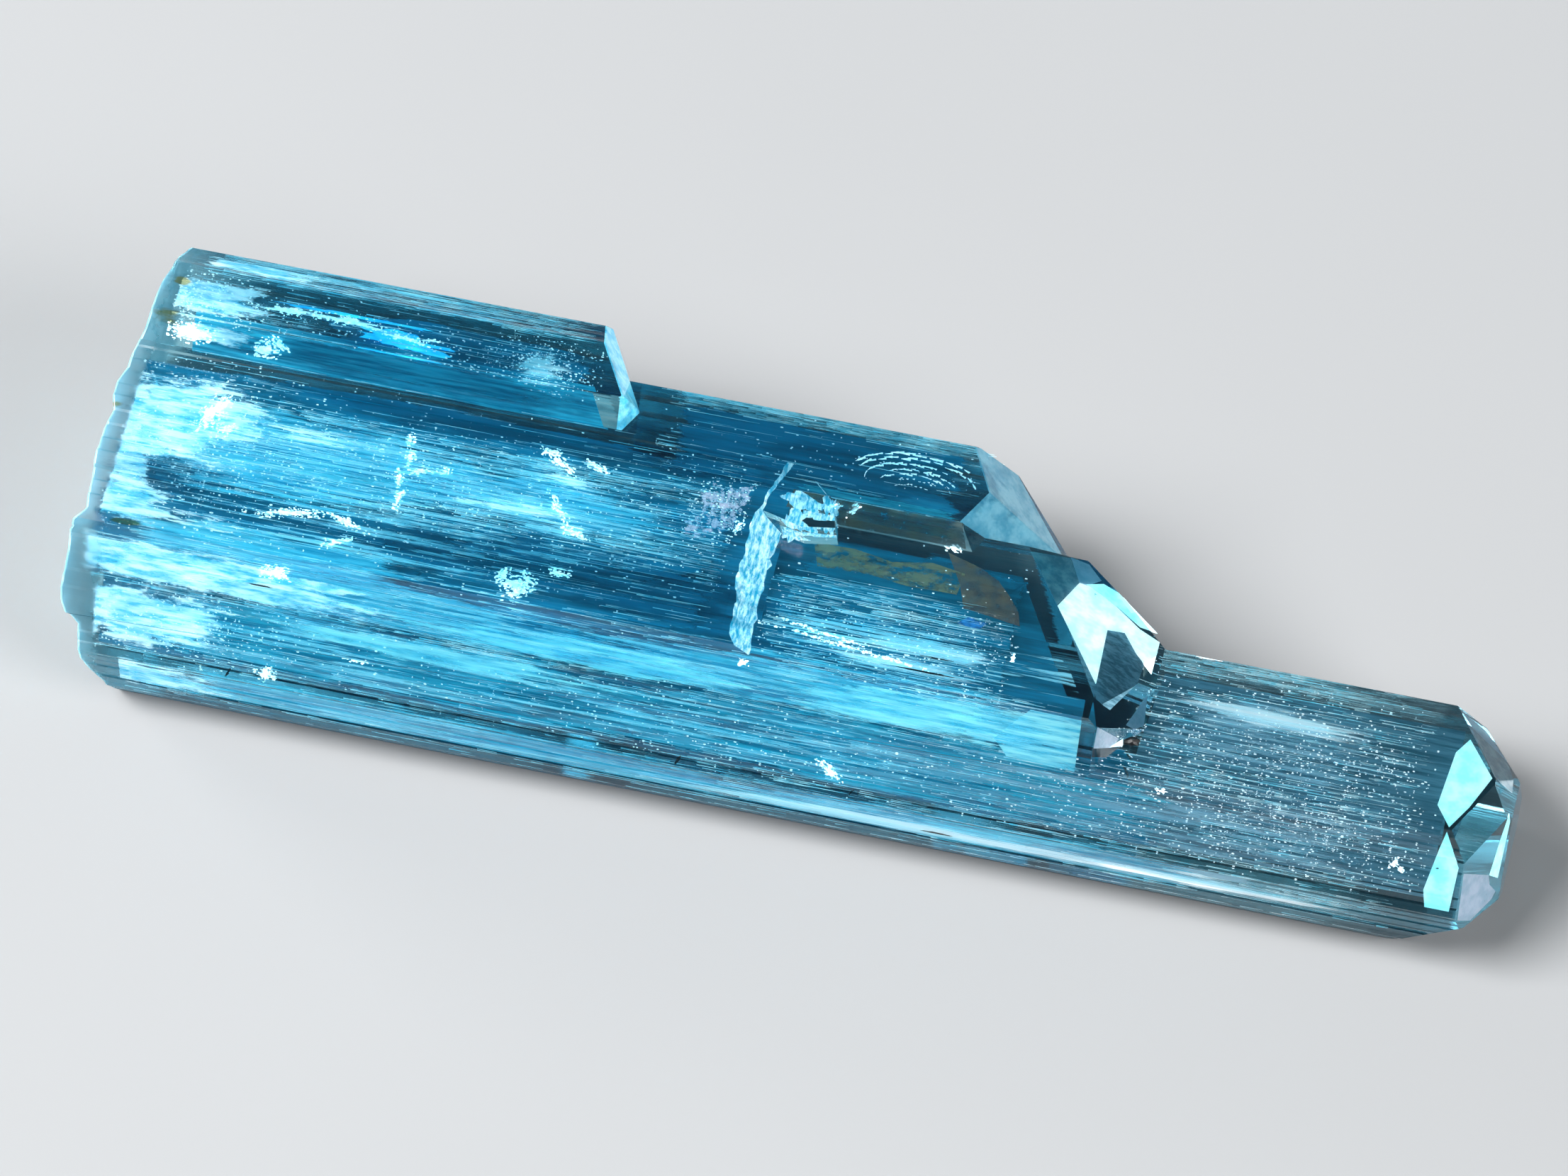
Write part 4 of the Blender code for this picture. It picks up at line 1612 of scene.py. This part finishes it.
SILK_FLAKES = [
    *under(
        Long.LAYER_TOP,
        (11.0, 5.2, 9.4, 1.4, 0.5),
        (19.0, 4.8, 8.0, 1.5, 0.6),
        (10.5, 0.8, 9.0, 0.8, 0.5),
        (14.0, 4.2, 12.0, 3.6, 1.1),
    ),
    *under(
        Long.MIDDLE_SLOPE,
        (14.0, 1.3, 12.5, 1.1, 0.4),
        (27.0, 1.2, 11.0, 1.1, 0.4),
    ),
    *under(
        Long.FRONT_SLOPE,
        (14.0, 2.0, 12.0, 1.8, 0.5),
        (27.0, 1.9, 13.0, 1.8, 0.5),
    ),
    *under(
        Long.FRONT_STRIP,
        (18.0, 1.05, 14.5, 1.0, 0.3),
        (33.0, 1.05, 14.5, 1.0, 0.3),
    ),
    *under(Long.TOP_BEVEL, (10.5, 0.8, 8.0, 0.75, 0.2)),
    *under(Long.MIDDLE_TOP, (35.0, 1.7, 8.0, 1.4, 0.5)),
]

BODY_FLAKES = [
    *under(
        Long.MIDDLE_SLOPE,
        (13.0, 1.3, 15.0, 1.5, 0.8, 0.0, 0.1),
        (32.0, 1.3, 13.5, 1.5, 0.8, 0.0, 0.1),
    ),
    *under(
        Long.FRONT_STRIP,
        (16.0, 1.05, 20.0, 1.3, 0.5, 0.0, 0.1),
        (38.0, 1.05, 16.0, 1.3, 0.5, 0.0, 0.1),
    ),
    *under(
        Long.LAYER_TOP,
        (9.0, 5.0, 10.0, 2.4, 1.2),
        (18.0, 4.9, 9.0, 1.4, 1.2),
        (8.0, 0.7, 9.0, 0.8, 1.2),
    ),
]
DEPTH_FLAKES = [
    *under(
        Long.FRONT_SLOPE,
        (14.0, 1.9, 16.0, 2.2, 0.8, 0.0, 0.1),
        (34.0, 1.9, 16.0, 2.2, 0.8, 0.0, 0.1),
    ),
    *under(Long.TOP_SLOPE, (11.0, 0.6, 10.0, 0.8, 0.3, 0.0, 0.1)),
    *under(Long.BACK_SLOPE, (32.0, 0.6, 7.0, 0.7, 0.8, 0.0, 0.1)),
]

# Plates of painted shade under the long faces.
PAINTED_SHADE_FLAKES = [
    *under(
        Long.LAYER_TOP,
        (13.5, 7.2, 13.5, 1.6, 1.4, 0.0, 0.1),
        (20.0, 1.7, 8.5, 1.5, 1.4, 0.0, 0.1),
        (22.0, 4.5, 5.5, 2.5, 1.4, 0.0, 0.1),
    ),
    *under(Long.MIDDLE_TOP, (36.5, 3.8, 9.0, 3.6, 1.4, 0.0, 0.2)),
    *under(Long.BACK_TOP, (29.0, 2.0, 14.0, 3.0, 0.9, 0.0, 0.1)),
    *under(Long.TOP_TOP, (14.0, 1.2, 6.5, 1.4, 1.2, 0.0, 0.2)),
]

GREY_FLAKES = [
    *under(
        Long.FRONT_SLOPE,
        (41.0, 2.0, 13.0, 1.7, 0.4),
        (49.0, 1.9, 7.0, 1.7, 0.4),
    ),
    *under(Long.FRONT_STRIP, (46.0, 1.05, 9.5, 1.0, 0.3)),
    *under(Long.FRONT_TOP, (50.0, 2.6, 6.0, 2.4, 0.6)),
]

CYAN_FLAKES = [
    *under(
        Long.MIDDLE_SLOPE,
        (35.0, 1.3, 6.6, 1.15, 0.3),
        (39.2, 1.3, 2.7, 1.15, 0.25),
        (22.0, 1.0, 9.0, 0.9, 0.3),
    ),
    *under(Long.FRONT_SLOPE, (16.0, 2.9, 9.0, 0.7, 0.3)),
]

WISP_FLAKES = [
    *under(
        Long.LAYER_TOP,
        (3.4, 4.5, 1.9, 1.4, 0.25),
        (4.7, 7.0, 2.8, 0.9, 0.25),
        (9.0, 5.6, 4.5, 0.9, 0.3),
        (17.0, 4.3, 5.5, 0.8, 0.35),
        (19.5, 5.9, 3.5, 0.7, 0.35),
        (5.4, 0.9, 3.4, 0.7, 0.25),
    ),
    *under(
        Long.TOP_TOP,
        (3.4, 1.3, 1.4, 1.0, 0.2),
        (8.2, 1.45, 3.4, 0.38, 0.7),
    ),
    *under(
        Long.FRONT_SLOPE,
        (5.0, 1.8, 2.8, 1.3, 0.2),
        (6.0, 3.0, 3.5, 0.5, 0.2),
    ),
    *under(Long.MIDDLE_SLOPE, (5.9, 1.3, 4.2, 0.9, 0.2)),
]

VEIL_FLAKES = [
    *under(Long.TOP_TOP, (17.4, 0.9, 1.8, 1.2, 0.6)),
    *under(Long.MIDDLE_TOP, (36.5, 1.9, 8.5, 0.8, 0.6)),
    *under(
        Long.FRONT_STRIP,
        (36.0, 1.0, 19.0, 0.6, 0.15),
        (49.0, 1.2, 9.0, 0.7, 0.15),
    ),
    *under(Long.MIDDLE_TOP, (35.0, 1.2, 6.2, 0.5, 0.9)),
    *under(
        Long.FRONT_TOP,
        (50.0, 3.8, 7.5, 0.75, 0.4),
        (49.5, 3.7, 6.5, 0.55, 0.7),
    ),
]

ROYAL_FLAKES = [
    *under(
        Long.TOP_TOP,
        (11.6, 1.05, 2.1, 0.42, 0.95, -3.0, 0.5),
        (9.4, 1.75, 3.2, 0.1, 0.75, 0.0, 0.5),
    ),
]

FLASH_FLAKES = [
    *under(
        Long.TOP_TOP,
        (6.6, 1.35, 1.7, 0.2, 0.6, 4.0, 0.7),
        (9.3, 1.4, 1.9, 0.22, 0.6, -3.0, 0.7),
        (11.8, 1.05, 1.2, 0.14, 0.6, -6.0, 0.7),
        (12.7, 1.2, 0.7, 0.08, 0.6, 5.0, 0.7),
    ),
]

OLIVE_SHEETS = [
    Sheet(
        Long.MIDDLE_TOP,
        ((29.9, 6.05), (30.3, 4.9), (32.5, 5.0), (34.0, 4.8), (36.1, 4.85), (36.2, 5.9),
         (34.8, 6.15), (33.2, 5.8), (31.6, 6.1)),
        0.40,
    ),
]
BROWN_SHEETS = [
    Sheet(
        Long.MIDDLE_TOP,
        ((35.3, 6.84), (36.8, 6.36), (37.6, 5.9), (38.2, 5.27), (38.7, 4.6), (38.9, 3.94),
         (37.6, 4.15), (36.5, 4.3), (36.1, 5.4)),
        0.5,
    ),
    Sheet(Long.BACK_SLOPE, ((28.5, 0.05), (36.0, 0.05), (35.7, 1.17), (28.7, 1.17)), 0.1),
]
# Painted highlight: a bright pane under the middle prism's tip facets.
PAINTED_TIP_HIGHLIGHT = Inclusion(
    "bright window", (0.95, 1.0, 1.0, 1.0), (0.62, 0.98, 0.98, 1.0), opacity=0.97, fineness=0.7,
    painted_glow=0.19,
)
# Painted reflection: a cyan pane under the tips' facets.
PAINTED_CYAN_REFLECTION = Inclusion(
    "cyan window", (0.66, 1.0, 1.0, 1.0), (0.36, 0.92, 0.98, 1.0), opacity=0.95, fineness=0.8,
    painted_glow=0.17,
)
# Painted reflection: a grey pane under the tips' facets.
PAINTED_GREY_REFLECTION = Inclusion(
    "grey window", (0.62, 0.74, 0.80, 1.0), (0.30, 0.44, 0.52, 1.0), opacity=0.55, fineness=1.5
)
# Painted reflection: a lilac pane under the tips' facets.
PAINTED_LILAC_REFLECTION = Inclusion(
    "lilac window", (0.80, 0.86, 0.98, 1.0), (0.55, 0.70, 0.84, 1.0), opacity=0.75, fineness=1.2
)

# Painted highlights on the middle prism's tip.
PAINTED_HIGHLIGHT_SHEETS = [
    Sheet(
        Tip.MIDDLE_SLANT,
        ((40.75, 8.53), (40.22, 6.74), (40.9, 5.75), (41.54, 4.81), (42.52, 3.35), (42.32, 6.59),
         (42.38, 8.12), (41.07, 8.61)),
        0.08,
    ),
    Sheet(
        Tip.MIDDLE_SLANT,
        ((42.32, 6.59), (42.99, 6.86), (43.65, 5.98), (44.45, 5.25), (44.39, 7.19), (43.5, 7.43),
         (42.38, 8.12)),
        0.08,
    ),
    Sheet(Tip.MIDDLE_SLANT, ((42.41, 8.73), (42.55, 8.8), (43.18, 8.3), (43.0, 8.11)), 0.05),
    Sheet(Tip.MIDDLE_FRONT, ((43.5, 1.5), (43.94, 2.07), (43.97, 1.93)), 0.04),
]
# Painted reflections in the tips and near the front prism's end.
PAINTED_CYAN_REFLECTION_SHEETS = [
    Sheet(
        Tip.MIDDLE_SLANT,
        ((41.02, 8.61), (41.65, 9.06), (42.34, 8.93), (44.2, 7.64), (43.49, 7.54), (42.42, 8.13)),
        0.06,
    ),
    Sheet(
        Long.FRONT_TOP,
        ((57.5, 4.50), (58.7, 2.85), (58.05, 1.25), (57.45, 0.15), (56.8, 1.1), (57.05, 3.75)),
        0.12,
    ),
    Sheet(
        Long.FRONT_SLOPE,
        ((57.4, 3.75), (58.1, 2.25), (58.0, 0.25), (57.0, 0.25), (56.85, 1.0), (57.2, 2.85)),
        0.12,
    ),
    Sheet(
        Tip.FRONT_FRONT,
        ((59.63, 3.0), (59.7, 2.9), (59.6, 1.5), (59.28, 1.18), (59.47, 2.24)),
        0.05,
    ),
]
# Painted reflections in the tips.
PAINTED_GREY_REFLECTION_SHEETS = [
    Sheet(Tip.MIDDLE_SLANT, ((38.6, 9.1), (40.13, 9.7), (40.75, 8.53), (40.2, 6.8)), 0.1),
    Sheet(
        Tip.FRONT_SLANT,
        ((57.42, 6.11), (58.8, 3.9), (59.6, 3.7), (59.5, 4.6), (59.1, 5.45)),
        0.06,
    ),
]
# Painted reflections in the tips.
PAINTED_LILAC_REFLECTION_SHEETS = [
    Sheet(
        Tip.MIDDLE_SLANT,
        ((40.13, 9.75), (40.89, 9.8), (41.53, 9.2), (41.07, 8.56), (40.75, 8.53)),
        0.08,
    ),
    Sheet(
        Tip.MIDDLE_UP,
        ((44.45, 4.5), (44.18, 3.36), (43.96, 2.5), (44.31, 2.6), (44.6, 3.04)),
        0.05,
    ),
    Sheet(Tip.MIDDLE_FRONT, ((42.97, 1.5), (43.8, 1.95), (43.57, 1.55), (42.95, 1.0)), 0.05),
    Sheet(Tip.FRONT_SLANT, ((56.9, 6.75), (58.0, 6.55), (59.1, 5.5), (57.51, 6.1)), 0.04),
    Sheet(
        Tip.FRONT_FRONT,
        ((58.35, 0.11), (59.25, 1.15), (59.34, 1.04), (59.6, 1.2), (59.5, 0.9), (58.86, -0.35),
         (58.4, -0.9)),
        0.05,
    ),
]
# Plates of painted shade deep under the long faces.
PAINTED_SHADE_SHEETS = [
    Sheet(Long.LAYER_TOP, ((1.0, 0.3), (28.6, 0.3), (28.6, 8.2), (1.2, 8.2)), 1.9),
    Sheet(
        Long.MIDDLE_TOP,
        ((28.4, 0.4), (42.0, 0.4), (40.2, 3.6), (38.4, 6.8), (28.4, 6.8)),
        1.7,
    ),
    Sheet(Long.MIDDLE_SLOPE, ((1.0, 0.2), (42.2, 0.2), (42.2, 2.4), (1.0, 2.4)), 1.5),
    Sheet(Long.FRONT_SLOPE, ((1.6, 0.2), (46.0, 0.2), (44.0, 3.6), (1.6, 3.6)), 1.5),
]
DEPTH_SHEETS = [
    Sheet(Long.TOP_SLOPE, ((3.0, -0.75), (20.6, -0.75), (19.8, 1.1), (3.0, 1.1)), 0.7),
]
# Plates of painted shade under the tip's faces.
PAINTED_SHADE_GREY_SHEETS = [
    Sheet(
        Tip.MIDDLE_SLANT,
        ((40.6, 8.6), (42.4, 8.6), (44.0, 7.0), (44.1, 4.7), (43.4, 2.6), (42.7, 2.8), (40.6, 6.6)),
        0.35,
    ),
    Sheet(Long.FRONT_TOP, ((44.4, 0.4), (57.2, 0.4), (57.2, 5.4), (44.8, 5.4)), 1.6),
    Sheet(Long.FRONT_SLOPE, ((45.6, 0.3), (57.1, 0.3), (57.1, 3.5), (44.2, 3.5)), 1.5),
]
SILK_SHEETS = [
    Sheet(
        Long.MIDDLE_TOP,
        ((38.0, 0.9), (42.1, 0.9), (41.4, 2.1), (40.9, 2.7), (38.2, 2.6)),
        0.35,
    ),
]
ZONE_SHEETS = [
    Sheet(
        Long.MIDDLE_SLOPE,
        ((38.9, 0.9), (39.5, 0.2), (42.3, 0.1), (42.3, 2.4), (40.2, 2.45)),
        0.2,
    ),
]
BLUE_SHEETS = [
    Sheet(Long.MIDDLE_TOP, ((36.4, 3.5), (37.3, 3.4), (37.6, 3.75), (36.8, 3.9)), 0.45),
]
SPLAY_FLAKES = [
    *under(
        Long.BACK_SLOPE,
        (29.2, 0.55, 1.0, 0.45, 0.06, -12.0, 0.5),
        (30.3, 0.6, 0.35, 0.5, 0.06, 0.0, 0.5),
    ),
    *under(
        Long.MIDDLE_TOP,
        (28.9, 6.4, 0.55, 0.6, 0.06, 0.0, 0.5),
        (29.9, 6.9, 0.7, 0.22, 0.06, 0.0, 0.5),
    ),
]
PINK_FLAKES = [
    *under(
        Long.LAYER_TOP,
        (26.2, 6.2, 1.2, 1.1, 0.3, 0.0, 0.5),
        (25.4, 5.0, 0.6, 0.5, 0.3, 0.0, 0.5),
    ),
]

DARK_FLAKES = [
    *under(
        Long.MIDDLE_TOP,
        (35.6, 0.8, 1.35, 0.04, 0.3, 0.0, 0.3),
        (35.9, 1.56, 0.6, 0.03, 0.3, 0.0, 0.3),
    ),
    *under(Long.MIDDLE_SLOPE, (8.3, 1.33, 0.5, 0.035, 0.2)),
    *under(
        Long.FRONT_SLOPE,
        (7.3, 0.28, 0.22, 0.045, 0.1, 65.0),
        (26.2, 0.3, 0.24, 0.06, 0.1, 65.0),
        (33.4, 0.35, 0.18, 0.03, 0.1, 55.0),
    ),
    *under(Long.FRONT_STRIP, (37.0, 1.01, 0.6, 0.05, 0.05)),
]

EDGES = [
    Edge(-1.0, 3.9, (2.5, 56.0), (1.0, -0.3)),
    Edge(-1.0, 1.73, (3.0, 55.5), (1.0, 0.3)),
    Edge(0.945, 7.27, (43.3, 56.8), (0.3, -1.0)),
    Edge(6.905, 7.27, (45.0, 56.3), (-0.3, -1.0)),
    Edge(1.66, 9.5, (1.2, 27.2), (0.4, -1.0)),
    Edge(1.6, 9.2, (28.6, 41.6), (0.4, -1.0)),
    Edge(10.2, 10.55, (1.5, 27.8), (-0.4, -1.0)),
    Edge(9.11, 10.26, (22.0, 36.0), (0.4, -1.0)),
    Edge(12.92, 10.26, (22.0, 35.4), (-0.4, -1.0)),
    Edge(11.0, 11.75, (2.0, 20.4), (0.4, -1.0)),
    Edge(13.53, 11.75, (2.2, 19.6), (-0.2, -1.0)),
    Edge(14.93, 10.95, (2.6, 19.4), (-0.6, -1.0)),
    Edge(16.9, 7.53, (3.2, 18.5), (-1.0, -0.4)),
    Edge(15.47, 5.84, (22.0, 36.5), (-1.0, 0.0)),
]


def crystal_parts() -> list[GrowthTubes | Pinpoints | Flakes | Sheets | EdgeWearAndHighlights | BlackGrain]:
    """Everything that is grown into the crystal or caught on it, and its painted light and shade,
    in order.
    """
    return [
        GrowthTubes(BUNDLES),
        Pinpoints(CLOUDS),
        Flakes("frost_flakes", FROST, FROST_FLAKES, seed=2, grains=80.0),
        Flakes("milk", MILK, MILK_FLAKES, seed=12),
        Flakes("painted_shade_plates", PAINTED_SHADE_TEAL, PAINTED_SHADE_FLAKES, seed=17),
        Flakes("blue_body", BODY_BLUE, BODY_FLAKES, seed=16),
        Flakes("blue_depths", DEPTHS, DEPTH_FLAKES, seed=18),
        Flakes("silky_veils", SILK, SILK_FLAKES, seed=13),
        Flakes("grey_silk", GREY_SILK, GREY_FLAKES, seed=14),
        Flakes("cyan_zones", CYAN, CYAN_FLAKES, seed=15),
        Flakes("frost_wisps", WISP, WISP_FLAKES, seed=3),
        Flakes("fine_veils", VEIL, VEIL_FLAKES, seed=4),
        Flakes("blue_flash", ROYAL, ROYAL_FLAKES, seed=5),
        Flakes("white_flash", FROST, FLASH_FLAKES, seed=6, grains=30.0),
        Flakes("break_splay", BREAK, SPLAY_FLAKES, seed=9),
        Flakes("pink_film", PINK, PINK_FLAKES, seed=7),
        Flakes("dark_needles", DARK, DARK_FLAKES, seed=8),
        Sheets("yellow_film", OLIVE, OLIVE_SHEETS),
        Sheets("brown_film", BROWN, BROWN_SHEETS),
        Sheets("blue_film", AZURE, BLUE_SHEETS),
        Sheets("silky_sheet", SILK, SILK_SHEETS),
        Sheets("depth_sheet", DEPTHS, DEPTH_SHEETS),
        Sheets("painted_grey_shade", PAINTED_SHADE_GREY, PAINTED_SHADE_GREY_SHEETS),
        Sheets("painted_shade_panes", PAINTED_SHADE_TEAL, PAINTED_SHADE_SHEETS),
        Sheets("cyan_sheet", CYAN, ZONE_SHEETS),
        Sheets("bright_windows", PAINTED_TIP_HIGHLIGHT, PAINTED_HIGHLIGHT_SHEETS),
        Sheets("cyan_windows", PAINTED_CYAN_REFLECTION, PAINTED_CYAN_REFLECTION_SHEETS),
        Sheets("grey_windows", PAINTED_GREY_REFLECTION, PAINTED_GREY_REFLECTION_SHEETS),
        Sheets("lilac_windows", PAINTED_LILAC_REFLECTION, PAINTED_LILAC_REFLECTION_SHEETS),
        Skin("break_fibres", BREAK, (26.5, 1.2, 8.9), (30.2, 10.6, 10.9), least=0.35),
        Skin("root_frost", ROOT, (-0.2, -0.9, 0.3), (3.4, 16.8, 11.7), (-1.0, 0.0, 0.0), 0.35),
        Skin("top_end_painted_light", PAINTED_END_LIGHT, (19.0, 10.6, 9.0), (22.8, 16.0, 11.9), least=0.3),
        Skin("back_end_painted_light", PAINTED_BACK_END_LIGHT, (35.3, 9.5, 7.0), (41.0, 15.6, 10.4), least=0.3),
        ShellFracture(),
        EdgeWearAndHighlights(EDGES),
        BlackGrain(),
    ]


def main() -> None:
    """Builds the crystal's looks in order."""
    logging.basicConfig(level=logging.INFO, format="%(name)s %(message)s")
    effects = Effects()
    glass = BerylGlass(painted_windows=PAINTED_SHADE_WINDOWS, stains=STAINS)
    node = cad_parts[NODE]
    aquamarine = glass.make(effects)
    for slot in node.material_slots:
        slot.material = aquamarine
    for part in crystal_parts():
        part.build(effects)
    Studio().build()


if __name__ == "__main__":
    main()
